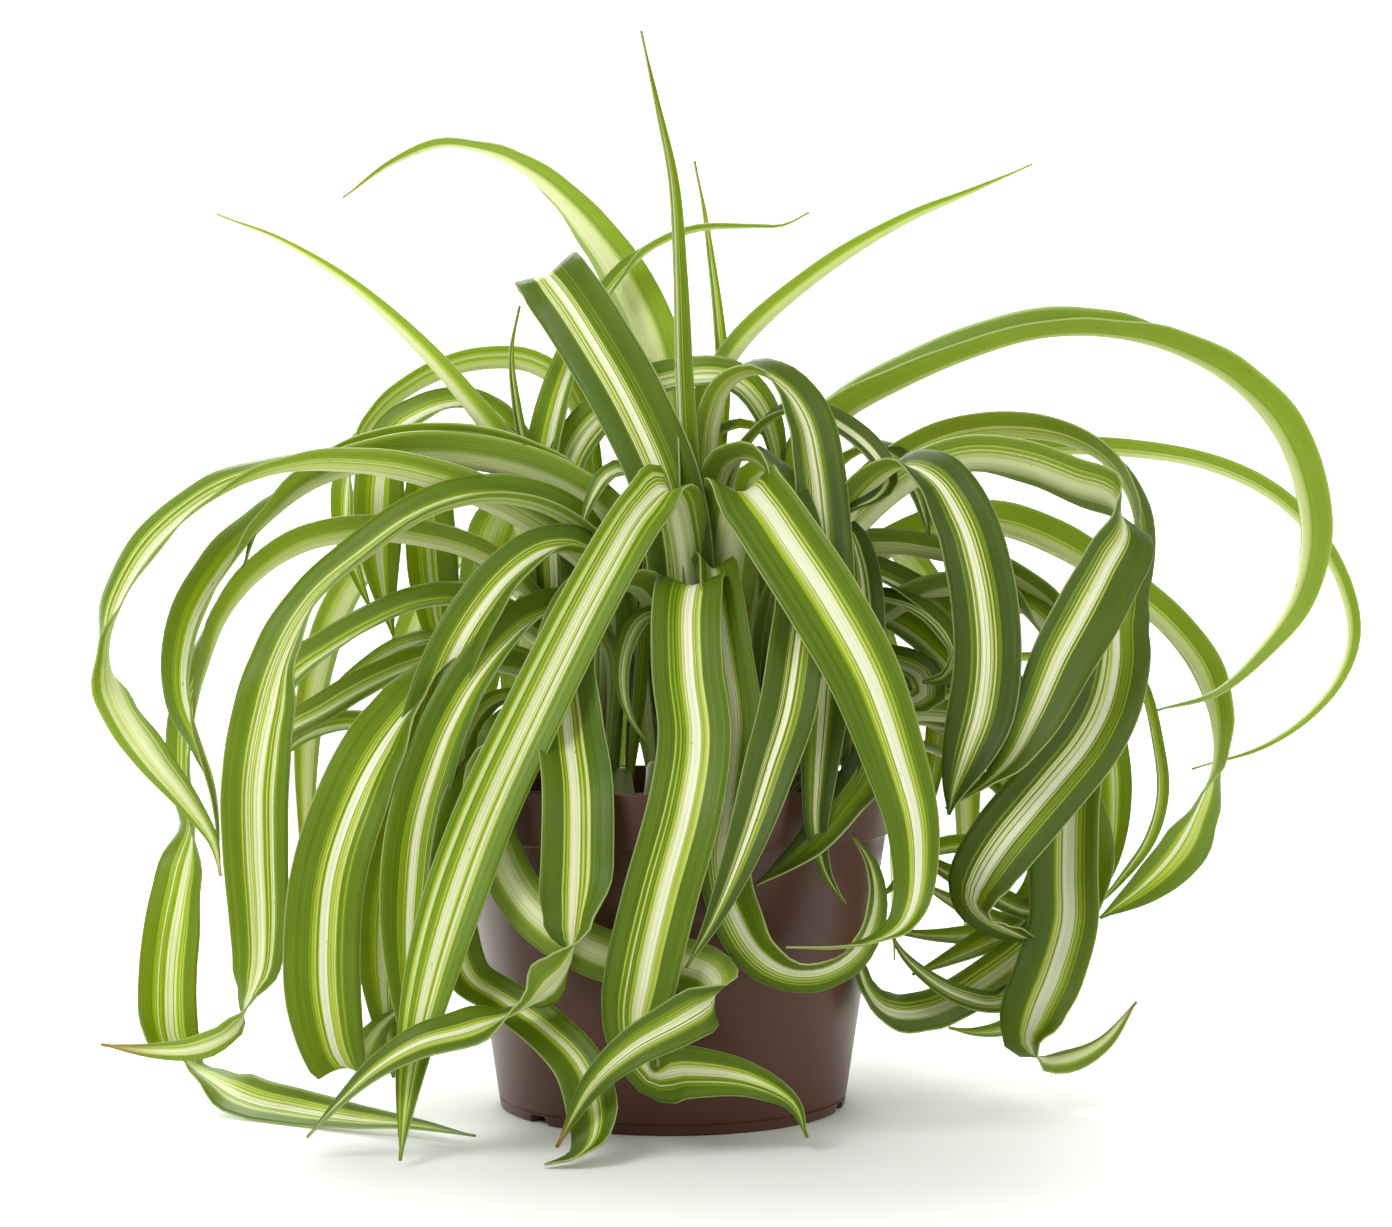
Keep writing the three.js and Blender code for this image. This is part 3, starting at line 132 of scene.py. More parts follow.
# Each leaf: name, width, fold at the base and at the tip in degrees, where its taper starts,
# and its route. A point of the route is [across, up, near, face]: across and up in the upright
# plane through the pot's middle, near as the distance from it towards the eye, and face as how
# far the upper side is turned from facing the eye. A point without face takes it from the others.
LEAVES = {
  "front": [
    ["centre_fall", 21, [24, 12], 0.7,
      [[9, 130, 15], [8.5, 146, 19, 180], [6, 155, 28], [4, 147, 38, 0], [4.5, 128, 50, 0],
        [6.5, 108, 64, 0], [3.5, 88, 74, 0], [-4, 60, 77, 5], [-9, 38, 77, 10], [-11, 22, 76, 35],
        [-6.5, 8, 76, 60], [3.5, 8.5, 76, -10], [22, 6.5, 75, -10], [36, -0.5, 74, 10],
        [40.5, -11, 73, 30]]],
    ["long_fall", 18, [50, 16], 0.74,
      [[5, 140, 14], [4.5, 156, 15, 170], [2.5, 172, 18, 165], [-1.5, 183.5, 24], [-9, 178, 31, 0],
        [-20, 160, 39, 0], [-40, 121, 51, 0], [-58.7, 80, 63, 4], [-71.5, 42, 74, 5], [-78.5, 10, 82, 12],
        [-82, -18, 92, 25]]],
    ["bent_over", 23, [45, 14], 0.8,
      [[2, 165, 10, 0], [-2.5, 187, 10, 0], [-12.5, 210, 7, -4], [-24, 230, 1, -6], [-32.5, 243, -5, -8],
        [-37.5, 248.5, -10], [-35.5, 244, -14, 180], [-30, 232.5, -16, 180], [-24.5, 221, -17, 180]]],
    ["tall_spike", 13, [55, 50], 0.2,
      [[3.5, 165, 9, 35], [2.6, 190, 8, 35], [1.4, 220, 6, 35], [0.8, 250, 4, 35], [-0.5, 276, 4, 30],
        [-5, 300, 4, 25], [-9.5, 321.5, 4, 20]]],
    ["hook", 15, [50, 20], 0.82,
      [[9, 140, 10], [10, 153, 14, 180], [12, 160, 21], [14, 152, 29, -15], [17, 133, 41, -10],
        [19.5, 112, 55, -5], [17.5, 90, 66.5, 0], [15.5, 72, 68, 0], [19, 57.5, 69, 12],
        [27, 44.5, 69.5, 38], [36, 39.5, 69, 55], [47, 40.5, 66, 60], [56, 47.5, 61, 58],
        [60.5, 60, 56, 55], [59, 71.5, 54, 50], [53.5, 80.5, 54, 50]]],
    ["small_curl", 6.5, [30, 20], 0.6,
      [[0, 138, 24, 90], [-4, 146, 29, 60], [-10, 144, 34, 35], [-14.5, 134, 38, 20], [-15, 124, 40, 15],
        [-12.5, 115, 42, 15], [-8, 108, 44, 15]]],
    ["swirl", 21, [45, 14], 0.62,
      [[-4, 138, 14, 130], [-12, 153, 23, 110], [-23, 151, 31, 50], [-31.5, 133, 37, 15],
        [-30.5, 112, 47, 5], [-28.5, 92, 65, 0], [-28.5, 70, 72, 5], [-29.5, 52, 75, 50],
        [-31, 42, 76, 105], [-37, 34, 78, 130], [-46, 27, 81, 90], [-61, 21, 85, 45], [-76, 17, 88, 42],
        [-89, 9.5, 87, 48], [-100, -0.5, 84, 55], [-110, -11, 80, 60]]],
  ],
  "left": [
    ["high_arch", 22, [58, 28], 0.66,
      [[-20, 172, 1, 104], [-30, 180.5, 0, 112], [-42, 186, -1, 118], [-58, 190, -2, 121],
        [-75, 191.5, -2, 120], [-92, 189.5, -2, 112], [-108, 184, -2, 100], [-122, 173.5, -1, 82],
        [-134, 160, 0, 64], [-142.5, 146, 2, 56], [-146, 133, 3, 55], [-146, 121, 5, 58],
        [-141.5, 107, 7, 80], [-138, 96, 8, 92], [-136.5, 84, 8, 92], [-136.5, 72, 8, 92]]],
    ["top_band", 14, [58, 30], 0.7,
      [[-30, 184, -4, 100], [-43, 193, -4, 106], [-58, 197.5, -5, 110], [-75, 198.5, -6, 110],
        [-92, 196, -6, 106], [-107, 190, -5, 98], [-117, 182, -3, 88], [-124.5, 172, 0, 74],
        [-129, 160, 3, 60]]],
    ["long_arch", 20, [56, 18], 0.66,
      [[-24, 154, 4, 110], [-36, 166.5, 5, 120], [-48, 174, 7, 124], [-62, 180.5, 9, 120],
        [-80, 186.5, 11, 111], [-100, 189.5, 12, 101], [-120, 188.5, 12, 86], [-140, 180, 12, 70],
        [-156, 166, 12, 62], [-165.5, 150.5, 13, 70], [-169.5, 135.5, 15, 92], [-166.5, 121, 17, 135],
        [-156.5, 104.5, 22, 160], [-145.5, 90, 25, 168], [-138, 78, 27, 170], [-136, 67.5, 28, 170]]],
    ["inner_small", 11, [45, 25], 0.7,
      [[-10, 160, 2.5, 60], [-10, 178, 3, 60], [-14, 189, 4, 62], [-19, 188, 6, 50], [-24, 181, 8, 40],
        [-28, 171, 10, 30]]],
    ["near_arch", 20, [58, 14], 0.68,
      [[-22, 163, 3, 78], [-33, 174, 8, 72], [-48, 179.5, 14, 70], [-61, 179.5, 18, 69],
        [-76, 174.5, 22, 68], [-92, 163.5, 26, 68], [-107, 150.8, 30, 66], [-116.5, 134.5, 33, 50],
        [-122, 116, 35, 20], [-125.5, 96, 37, 0], [-125.5, 75, 39, 0], [-124.5, 56, 41, 5],
        [-124.5, 41, 42, 20], [-127.5, 29.8, 43, 72], [-132, 21, 44, 125], [-143, 15.5, 44, 150],
        [-157, 15, 44, 155], [-172, 17, 42, 160]]],
    ["inner_arch", 18, [55, 15], 0.8,
      [[-20, 152, 8, 90], [-27, 164, 15, 72], [-37, 165, 21, 60], [-48, 158, 28, 42], [-58, 146, 31, 28],
        [-66, 132, 33, 22], [-71.5, 117, 33, 15], [-76, 98, 33, 8], [-81, 80, 33, 0], [-85.5, 62, 33, 0],
        [-87, 42, 34, 0], [-86, 24, 35, 0], [-84, 7, 36, 0]]],
    ["front_arch", 16, [55, 15], 0.72,
      [[-21, 136, 12, 90], [-31, 146.5, 19, 70], [-42, 144.5, 28, 55], [-51, 137, 34, 42],
        [-60, 126, 39, 32], [-67.5, 113, 42, 20], [-73.5, 98, 45, 8], [-78, 82, 47, 0], [-80, 64, 49, 0],
        [-80.5, 46, 50, 0], [-79.5, 28, 51, 0], [-78, 14, 51, 10], [-76, 5, 50, 20]]],
    ["wide_hang", 22, [50, 12], 0.76,
      [[-28, 116, 8, 100], [-44, 127, 14, 98], [-60, 129.5, 20, 90], [-71, 125.5, 27, 75],
        [-80, 116.5, 34, 55], [-89.5, 103, 41, 26], [-97.5, 87, 47, 6], [-103.5, 68, 51, 0],
        [-105.5, 48, 53, 0], [-105, 30, 53, 0], [-101.5, 14, 51, 0], [-97.5, 10, 46], [-93, 15, 41, 180],
        [-88, 22.5, 39, 175], [-81, 28.5, 37, 165]]],
    ["under_fold", 15, [45, 14], 0.72,
      [[-26, 108, 16, 100], [-40, 116, 30, 80], [-50, 110, 44, 40], [-55, 96, 52, 150], [-54, 80, 56, 180],
        [-46, 62, 59, 180], [-34, 50.5, 66, 180], [-16, 42.5, 70, 180], [2, 41.5, 71, 180],
        [11, 38, 74, 180], [12.5, 31.5, 80], [4, 25, 85, 0], [-12, 16, 88, 0], [-24, 5, 88, 5],
        [-35, -14, 87, 15]]],
    ["foot_curl", 14.5, [45, 14], 0.88,
      [[-34, 100, 22, 90], [-50, 104, 36, 60], [-61, 92, 46, 20], [-66, 74, 51, 0], [-66.5, 54, 54, -5],
        [-62, 37, 58, -28], [-52, 30, 63, -38], [-40, 22, 70, -32], [-29, 11, 77, -18],
        [-24.5, -0.5, 83, 0], [-24, -10.5, 87, 35], [-29, -17, 91, 72], [-38.5, -19.2, 93, 82]]],
    ["low_fan", 15, [45, 20], 0.68,
      [[-30, 122, 2, 95], [-48, 132, 3, 78], [-66, 133, 4, 66], [-80, 129.5, 6, 60], [-93, 123.5, 8, 54],
        [-105, 116.5, 10, 50], [-116, 110.5, 12, 44], [-124, 100, 13, 34], [-128, 87, 14, 20]]],
    ["low_pale", 9, [45, 20], 0.6,
      [[-30, 112, 6, 95], [-44, 121, 14, 80], [-55, 118.5, 22, 50], [-62, 107, 28, 20], [-63, 94, 32, 0],
        [-65, 80, 35, 0]]],
  ],
  "rear_left": [
    ["inward_high", 18, [45, 20], 0.75,
      [[-37, 150, -31, 180], [-43, 168, -38, 180], [-49, 178, -47, 180], [-54, 170, -56, 180],
        [-57, 150, -62, 180], [-58, 126, -65, 180], [-58, 104, -66, 180]]],
    ["inward_low", 17, [45, 20], 0.75,
      [[-33, 128, -34, 180], [-36, 144, -42, 180], [-40, 150, -50, 180], [-43, 142, -58, 180],
        [-45, 122, -63, 180], [-45, 102, -66, 180]]],
    ["upper_reach", 18, [50, 35], 0.12,
      [[-38, 178, -15, 122], [-47.5, 190, -15, 128], [-57, 202, -13, 130], [-73, 221.5, -8, 128],
        [-95, 243, -6, 122], [-118, 258.5, -5, 114], [-137, 266.5, -4, 110]]],
    ["bent_thin", 17, [38, 34], 0.3,
      [[-36, 176, -18, -45], [-37, 192, -21, -38], [-35, 205, -23, -38], [-30.5, 220, -27, -42],
        [-23.5, 235, -28, -50], [-15.5, 247, -27, -66], [-6, 256, -23, -88], [8, 261.5, -19, -105],
        [24, 262.5, -16, -105], [33, 263, -15, -105], [41, 267, -15, -100]]],
    ["small_spike", 6.5, [35, 30], 0.4,
      [[-43, 186, -18, 30], [-47, 208, -18, 25], [-48.5, 225, -18, 20], [-46, 239, -18, 15]]],
    ["back_arch", 15, [60, 30], 0.7,
      [[-28, 196, -30, 108], [-33, 212, -32, 116], [-43, 219.5, -34, 120], [-56, 220.5, -36, 120],
        [-69, 217.5, -38, 116], [-81, 211, -39, 110], [-90, 203, -40, 96], [-96, 192, -40, 70],
        [-98, 180, -40, 40], [-97.5, 167, -40, 20], [-94, 156, -40, 10], [-90, 146, -40, 5]]],
    ["back_low", 17, [50, 20], 0.8,
      [[-38, 184, -24, 100], [-46, 197, -26, 80], [-56, 207, -27, 72], [-65, 209, -28, 66],
        [-75, 206, -29, 60], [-82.5, 200.5, -30, 45], [-86.5, 191.5, -30, 25], [-88, 180, -30, 8],
        [-88, 166, -30, 0], [-86.5, 152, -30, 0], [-84, 140, -30, 5]]],
    ["back_drop", 17, [50, 20], 0.8,
      [[-40, 176, -34, 96], [-51, 193, -37, 88], [-61, 199, -38, 78], [-69, 194, -38, 50],
        [-72.5, 182, -38, 15], [-72.5, 166, -38, 0], [-71, 150, -37, 0], [-69, 136, -36, 0],
        [-68, 122, -35, 0]]],
    ["low_long", 18, [58, 14], 0.72,
      [[-36, 138, -18, 90], [-45, 152, -17, 106], [-58, 162, -16, 116], [-75, 167, -15, 117],
        [-92, 168.5, -14, 116], [-110, 165.5, -12, 112], [-124, 157, -10, 104], [-134, 145, -9, 92],
        [-140, 130, -8, 80], [-144.5, 114, -7, 60], [-145.5, 99, -5, 68], [-143.5, 84, -3, 80],
        [-147, 67, 0, 36], [-151, 46, 2, 6], [-152, 29, 4, 2], [-151, 18, 7, -30], [-146, 11, 10, -80],
        [-139, 6, 14, -66], [-130, 1, 20, -36], [-120, -2, 26, -38], [-108, -4, 34, -42],
        [-94, -6, 44, -50], [-78, -7.6, 54, -60], [-59.5, -10.6, 69, -70]]],
    ["right_over", 16, [40, 20], 0.75,
      [[-32, 186, -19, -32], [-27, 199, -21, -32], [-18, 208, -21, -40], [-7, 214.5, -19, -50],
        [6, 217.5, -14, -52], [15, 217.5, -12, -52], [22, 213.5, -9.5, -48], [27.5, 206, -10.5, -40],
        [31, 195, -10, -30], [31.5, 182, -10, -20]]],
    ["side_arch", 18, [50, 20], 0.72,
      [[-36, 130, -10, 90], [-48, 142.5, -10, 74], [-62, 149, -9, 68], [-76, 148.5, -8, 66],
        [-90, 143, -7, 66], [-103, 135.5, -6, 64], [-114, 127.5, -5, 56], [-122, 115, -4, 44],
        [-126, 99, -3, 30], [-127, 84, -2, 15]]],
    ["side_low", 12, [50, 25], 0.75,
      [[-38, 104, -20, 90], [-56, 111, -21, 76], [-76, 110.5, -21, 66], [-90, 112.5, -20, 60],
        [-101, 112.5, -19, 56], [-110, 109.5, -18, 55], [-117, 104, -17, 55], [-122, 96, -16, 60]]],
    ["side_mid", 11, [50, 25], 0.72,
      [[-40, 122, -22, 90], [-54, 133.5, -23, 76], [-70, 138, -24, 70], [-81, 136, -24, 64],
        [-90, 131, -24, 58], [-99, 125, -24, 54], [-107, 119, -24, 50]]],
  ],
  "rear": [
    ["behind_left", 18, [45, 20], 0.75,
      [[-8, 130, -32, 180], [-11, 154, -37, 180], [-14, 166, -46, 180], [-16, 158, -56, 180],
        [-17, 136, -63, 180], [-17, 112, -67, 180]]],
    ["behind_middle", 16, [45, 20], 0.75,
      [[6, 128, -32, 180], [8, 142, -40, 180], [9, 148, -49, 180], [10, 139, -58, 180], [10, 122, -64, 180],
        [10, 104, -68, 180]]],
    ["tall_arch", 22, [40, 25], 0.5,
      [[-1, 185, -30, 148], [-3, 206, -31, 150], [-7.5, 226.5, -32, 150], [-15, 244, -34, 146],
        [-25.5, 259.5, -36, 136], [-37.5, 273, -38, 122], [-49, 281.5, -41, 108], [-59, 285.5, -44, 98],
        [-70, 286.5, -46, 106], [-84, 281.5, -48, 110], [-99, 271.5, -50, 105]]],
    ["over_low", 12, [45, 25], 0.8,
      [[3, 172, -24, -110], [7, 189, -26, -105], [13, 199, -27, -100], [20, 202.5, -27, -92],
        [27.5, 200, -28, -76], [33, 192, -29, -52], [36, 181, -29, -30]]],
    ["thin_spike", 8, [40, 35], 0.35,
      [[12, 190, -28, 30], [14.5, 215, -28, 30], [13.3, 235, -28, 30], [11.4, 252, -28, 30],
        [9.3, 268, -28, 30], [6.5, 282.5, -28, 30]]],
    ["upper_right", 14, [55, 45], 0.5,
      [[5, 190, -24, -122], [11.5, 209.5, -24, -122], [21, 225.5, -24, -120], [32, 237, -24, -118],
        [51, 252, -24, -116], [70.5, 264, -24, -114], [90, 273, -24, -111], [108, 281.5, -24, -106]]],
  ],
  "right": [
    ["big_diagonal", 23, [45, 12], 0.5,
      [[15, 140, 4], [16, 160, 9, 175], [18, 175, 14, 175], [21, 183, 23], [27, 178, 33, 0],
        [34, 167.5, 41, 0], [46, 149, 50, 0], [58, 127, 56, 0], [67, 102, 60, 0], [72, 84, 62, 0],
        [73, 70, 63, 5], [72, 60, 65, 15], [68.5, 52.5, 68, 40], [61, 48, 71, 70], [50, 46, 74, 90],
        [34, 46.2, 76, 95]]],
    ["under_drop", 17, [50, 18], 0.7,
      [[14.5, 172, 0.5, -115], [15, 184, 5, -118], [19, 192, 11, -112], [26, 191.5, 18, -90],
        [33, 182, 24, -55], [37, 167, 30, -28], [38.5, 150, 37, -10], [37, 134, 50, 0], [34, 116, 61, 0],
        [29, 100, 70, 0], [24, 84, 76, 0], [18.5, 69, 79, 0], [12, 54, 81, 5], [4, 40, 83, 5]]],
    ["centre_drop", 17, [50, 16], 0.7,
      [[13, 188, -3, -118], [14, 204, 0, -114], [18, 215, 4, -100], [26, 218.5, 8, -80],
        [34, 213.5, 10, -55], [40, 204, 14, -32], [43, 191, 17, -20], [45, 174, 20, -10],
        [46.5, 155, 25, 0], [46.5, 136, 33, 0], [45.5, 117, 44, 0], [44, 98, 55, 0], [43.3, 82, 60, 0],
        [46, 69, 61, 5], [52, 59, 62, 15]]],
    ["ring", 11, [45, 25], 0.75,
      [[19, 188, -4, -110], [27, 202, -1, -90], [36, 207.5, 1, -75], [44, 206, 2, -60], [51, 202, 4, -50],
        [57.5, 197, 7, -45], [62, 191.5, 11, -40], [64, 186, 14, -10], [61, 181.5, 15, 30],
        [54, 178, 15, 45], [46, 173, 14, 50]]],
    ["dark_hang", 20, [50, 14], 0.86,
      [[36, 150, -1, -130], [50, 170, 8, -122], [61, 184.5, 15, -112], [70, 190.5, 21, -85],
        [79, 186.5, 27, -45], [87, 174, 32, -22], [91.5, 160, 34, -12], [94, 145, 35, -6],
        [94.5, 130, 36, 0], [92.5, 116, 37, 4], [88.5, 104, 38, 8], [85, 94, 39, 18], [83, 86, 40, 35]]],
    ["shade_drop", 11, [45, 20], 0.7,
      [[36, 158, 0, -110], [45, 170, 3, -104], [52, 172, 6, -80], [56, 163, 8, -40], [58, 151, 14, -15],
        [58.5, 136, 22, 0], [57, 118, 33, 10], [54.5, 103, 45, 10], [51, 91, 53, 5], [47.5, 79, 57, 0]]],
    ["dark_low", 14, [45, 16], 0.8,
      [[34, 128, 2, -110], [46, 139, 8, -100], [56, 135, 16, -70], [61.5, 123, 27, -30], [61.5, 108, 39, 0],
        [57.5, 97, 50, 15], [50, 87, 58, 32], [42, 77, 62, 38], [33, 70, 66, 45], [25, 65, 69, 45]]],
  ],
  "rear_right": [
    ["inward_tall", 18, [45, 20], 0.75,
      [[26, 140, -32, 180], [25, 165, -35, 180], [25, 183, -42, 180], [26, 187, -51, 180],
        [27, 174, -60, 180], [28, 150, -66, 180], [28, 124, -69, 180]]],
    ["inward_side", 17, [45, 20], 0.75,
      [[35, 134, -31, 180], [46, 146, -40, 180], [54, 147, -49, 180], [58, 138, -57, 180],
        [60, 118, -61, 180], [61, 100, -63, 180]]],
    ["big_arch", 24, [66, 28], 0.66,
      [[36, 178, -18, -96], [42, 193, -17, -92], [52, 204.5, -15, -86], [70, 214.8, -12, -80],
        [90, 223.5, -8, -76], [110, 229.3, -4, -76], [130, 229.8, 0, -82], [150, 225, 4, -94],
        [168, 214.8, 8, -106], [180.8, 201, 10, -116], [188, 183.5, 12, -121], [189.8, 168, 12, -122],
        [186, 151, 12, -118], [176, 136, 12, -110], [163, 123.5, 12, -104], [145, 117.5, 12, -100]]],
    ["far_arch", 13, [62, 35], 0.6,
      [[36, 165, -32, -105], [60, 184, -36, -105], [90, 192, -39, -105], [115, 194.5, -41, -107],
        [140, 193.5, -42, -108], [160, 190, -43, -108], [178, 182, -43, -110], [191, 170.5, -43, -112],
        [200, 155, -43, -114], [203, 140, -42, -115], [199.5, 128, -41, -114], [191, 117, -40, -110],
        [177, 107, -39, -105], [156, 100, -38, -100]]],
    ["striped_turn", 21, [48, 16], 0.74,
      [[46, 156, -12, -115], [60, 174, -10, -118], [75, 186, -8, -122], [90, 191, -6, -126],
        [106, 189, -3, -131], [121, 183.5, 2, -134], [131.5, 180, 9, -122], [136, 171, 18, -55],
        [131, 160, 25, -22], [124.5, 147, 29, -12], [117, 133, 32, -6], [110, 117, 34, 0],
        [102.5, 103, 36, 25], [94, 95, 37, 60], [82, 88, 37, 72]]],
    ["dark_turn", 21.5, [55, 13], 0.82,
      [[48, 166, -25, -100], [62, 184, -26, -105], [78, 195, -26, -105], [92, 199, -26, -105],
        [105, 199.5, -25, -105], [118, 197.5, -22, -100], [129, 192, -17, -92], [136, 183, -11, -85],
        [139, 172, -5, -78], [136, 158, 1, -60], [133, 145, 7, -35], [132.5, 131, 13, -10],
        [129.5, 118, 18, 0], [123.5, 107, 23, 0], [115, 96.5, 27, 0], [106.5, 86.5, 30, 0],
        [98.5, 76.5, 33, 2], [93, 67.5, 35, 14], [90.5, 60.5, 35, 48], [94, 55.5, 29, 62],
        [102, 51, 19, 52], [110.5, 47.5, 5, 45]]],
    ["far_turn", 21, [48, 20], 0.84,
      [[44, 150, -32, -100], [64, 163, -36, -114], [82, 170.5, -37, -122], [98, 171.5, -37, -126],
        [113, 166.5, -36, -126], [126, 159, -34, -122], [138, 150.5, -32, -120], [149, 141, -30, -120],
        [158, 129, -27, -120], [162, 115.5, -24, -112], [162.5, 102, -21, -94], [158, 88.5, -18, -66],
        [151.5, 75.5, -16, -34], [142, 65, -14, -20], [128.5, 55, -12, -15]]],
    ["wide_drop", 21, [50, 12], 0.78,
      [[58, 138, -18, -100], [78, 151, -18, -100], [97, 151.5, -16, -95], [111, 141, -13, -60],
        [118, 124, -9, -30], [119.5, 106, -5, -10], [118, 88, 2, 0], [117.5, 68, 8, 0], [117.5, 54, 11, 0],
        [113, 38, 13, 0], [108.5, 26.5, 15, 15], [106.5, 17.5, 16, 55], [111, 12.8, 16, 100],
        [120, 13.5, 15, 120], [130, 18.5, 13, 120], [139.5, 30, 11, 118]]],
    ["thin_turn", 8.5, [36, 25], 0.8,
      [[56, 118, -33, -100], [82, 138, -40, -100], [108, 147, -42, -100], [129, 140, -41, -92],
        [140, 125, -40, -70], [144.5, 108, -39, -66], [146, 93, -38, -62], [142.5, 79, -37, -58],
        [134.5, 67, -36, -50], [127, 58, -35, -50]]],
    ["behind_drop", 11, [45, 20], 0.78,
      [[54, 108, -40, -100], [86, 128, -47, -100], [113, 132, -48, -90], [127, 122, -47, -50],
        [132, 105, -46, -22], [133, 88, -45, -10], [131.5, 73, -44, -5], [127, 58, -43, 0]]],
    ["side_band", 18, [50, 22], 0.72,
      [[40, 160, -21, -108], [52, 164, -22, -114], [66, 165, -22, -116], [80, 163, -22, -116],
        [95, 159, -22, -114], [109, 151.5, -21, -108], [120, 141, -20, -90], [126.5, 128, -19, -50],
        [127.5, 114, -18, -25], [125.5, 100, -17, -10], [122, 88, -16, 0]]],
    ["side_drop", 16, [42, 20], 0.74,
      [[38, 152, -14, -105], [50, 159.5, -15, -76], [62, 157.5, -15, -62], [74, 151, -15, -56],
        [86, 141, -15, -52], [97, 130, -15, -48], [105, 117, -14, -44], [108, 103, -13, -40]]],
    ["young_pale", 12, [38, 20], 0.8,
      [[40, 142, -9, -100], [52, 150, -8, -80], [64, 150.5, -8, -68], [74, 147, -7, -60],
        [81, 140.5, -5, -55], [84, 133, -3, -60], [81, 127.5, -2, -40], [75, 126, -1, 0]]],
    ["young_drop", 14, [40, 20], 0.78,
      [[40, 134, -18, -90], [52, 145, -19, -66], [63, 144.5, -19, -55], [73, 139, -19, -50],
        [82, 130, -19, -45], [88, 119, -19, -35], [90, 106, -18, -20]]],
    ["curl_under", 14, [30, 20], 0.82,
      [[40, 124, -12, -80], [53, 130.5, -13, -62], [65, 131.5, -12, -50], [74, 128, -9, -30],
        [76, 122, -6, 10], [70.5, 119.5, -5, 40], [62, 123, -5, 55]]],
    ["lit_strip", 8, [45, 20], 0.8,
      [[48, 138, -42, -90], [62, 146, -48, -80], [74, 139, -51, -50], [79, 125, -52, -20],
        [79.5, 110, -52, 0], [77.5, 95, -51, 0], [75, 80, -50, 0]]],
    ["low_hook", 10, [40, 16], 0.75,
      [[54, 106, -12, -100], [82, 121, -10, -100], [106, 115, -6, -80], [118.5, 95, -4, -50],
        [120, 66, -3, -10], [113, 42, -1, 25], [99, 29.5, 1, 40], [86, 31.5, 4, 35], [76, 37.5, 6, 35],
        [68.5, 45, 7, 35], [65, 52, 7, 35]]],
    ["low_sweep", 17, [45, 16], 0.8,
      [[48, 108, -16, -100], [66, 114, -16, -100], [88, 113, -16, -100], [111, 103, -15, -78],
        [123.5, 83, -14, -40], [122, 60, -13, 15], [109, 46, -11, 40], [95, 35.5, -8, 42],
        [84, 28.5, -3, 42], [73, 25.2, 6, 45], [63.5, 26.8, 17, 50], [58, 33.5, 25, 60], [56, 41, 28, 35],
        [57, 48.5, 29, 15]]],
    ["low_back", 12, [40, 16], 0.78,
      [[44, 112, -40, -100], [58, 119, -46, -100], [78, 112, -50, -90], [98, 96, -51, -70],
        [112, 72, -50, -40], [114, 46, -48, 0], [110, 30, -46, 25], [101, 22, -43, 45], [91, 20.5, -41, 48],
        [83, 22, -40, 50]]],
    ["low_level", 12, [40, 16], 0.75,
      [[46, 116, -34, -100], [62, 122, -37, -100], [86, 114, -38, -90], [107, 94, -37, -60],
        [116.5, 68, -35, -10], [108, 54, -33, 30], [95, 50, -31, 45], [79, 49.3, -29, 50],
        [63, 51.5, -28, 50]]],
    ["low_bow", 14, [40, 16], 0.75,
      [[50, 101, -27, -100], [77, 115, -28, -100], [101, 107, -28, -78], [112, 87, -27, -46],
        [112.5, 66, -25, 0], [104, 53, -23, 30], [93, 47, -20, 40], [82, 42, -18, 42], [72, 38, -17, 42]]],
    ["low_cross", 10, [40, 16], 0.82,
      [[50, 110, -22, -100], [76, 113, -23, -100], [100, 102, -22, -70], [115, 80, -21, -30],
        [117, 62, -20, 10], [107, 57, -18, 40], [97, 61, -16, 45], [88, 65.5, -15, 45], [79, 70.5, -14, 45],
        [69, 78, -13, 45]]],
    ["low_turn", 9, [40, 16], 0.8,
      [[48, 104, -30, -100], [74, 106, -31, -100], [98, 92, -30, -70], [112, 70, -29, -40],
        [114, 54, -27, 100], [104, 51.5, -25, 135], [94, 55, -23, 138], [84, 60, -22, 138],
        [73, 66.5, -21, 138]]],
    ["lit_level", 9, [40, 20], 0.8,
      [[50, 124, -46, -90], [66, 128, -52, -84], [88, 118, -56, -70], [103, 98, -56, -40],
        [104, 83, -55, 10], [94, 77, -53, 45], [84, 76.5, -52, 45], [74, 73.5, -50, 42], [68, 66, -49, 38],
        [61, 60, -48, 42]]],
    ["ring_back", 15, [45, 20], 0.8,
      [[36, 158, -17, -100], [43, 178, -18, -100], [51, 191, -18, -95], [59, 195.5, -17, -82],
        [67, 192, -16, -66], [73, 183, -15, -52], [77, 170, -15, -42]]],
  ],
}

# Leaves by painted light and shade, from 0 for the darkest, painted as lying in shadow, to 1 for the
# palest, painted as lit from behind
SHADE_TONES = {
  0.0: ["dark_low"],
  0.05: ["dark_hang"],
  0.1: ["dark_turn", "shade_drop", "ring_back"],
  0.15: ["striped_turn", "centre_drop", "ring", "curl_under"],
  0.2: ["under_drop", "side_band", "side_drop"],
  0.25: ["wide_drop"],
  0.3: ["bent_over", "low_hook", "low_sweep", "low_turn", "young_pale"],
  0.35: ["over_low", "low_cross", "under_fold", "foot_curl"],
  0.4: ["swirl"],
  0.45: ["inward_side", "hook", "inner_arch"],
  0.5: ["inner_small", "inward_tall", "top_band", "big_diagonal", "centre_fall"],
  0.6: ["inward_low", "behind_left"],
  0.65: ["back_low", "back_drop", "far_turn"],
  0.7: ["long_fall", "back_arch", "big_arch"],
  0.75: ["inward_high", "far_arch"],
  0.8: ["upper_reach", "bent_thin", "tall_arch", "thin_spike", "upper_right"],
  0.95: ["lit_level"],
  1.0: ["lit_strip"],
}
SHADE_TONE_OF = {name: tone for tone, names in SHADE_TONES.items() for name in names}
USUAL_SHADE_TONE = 0.55

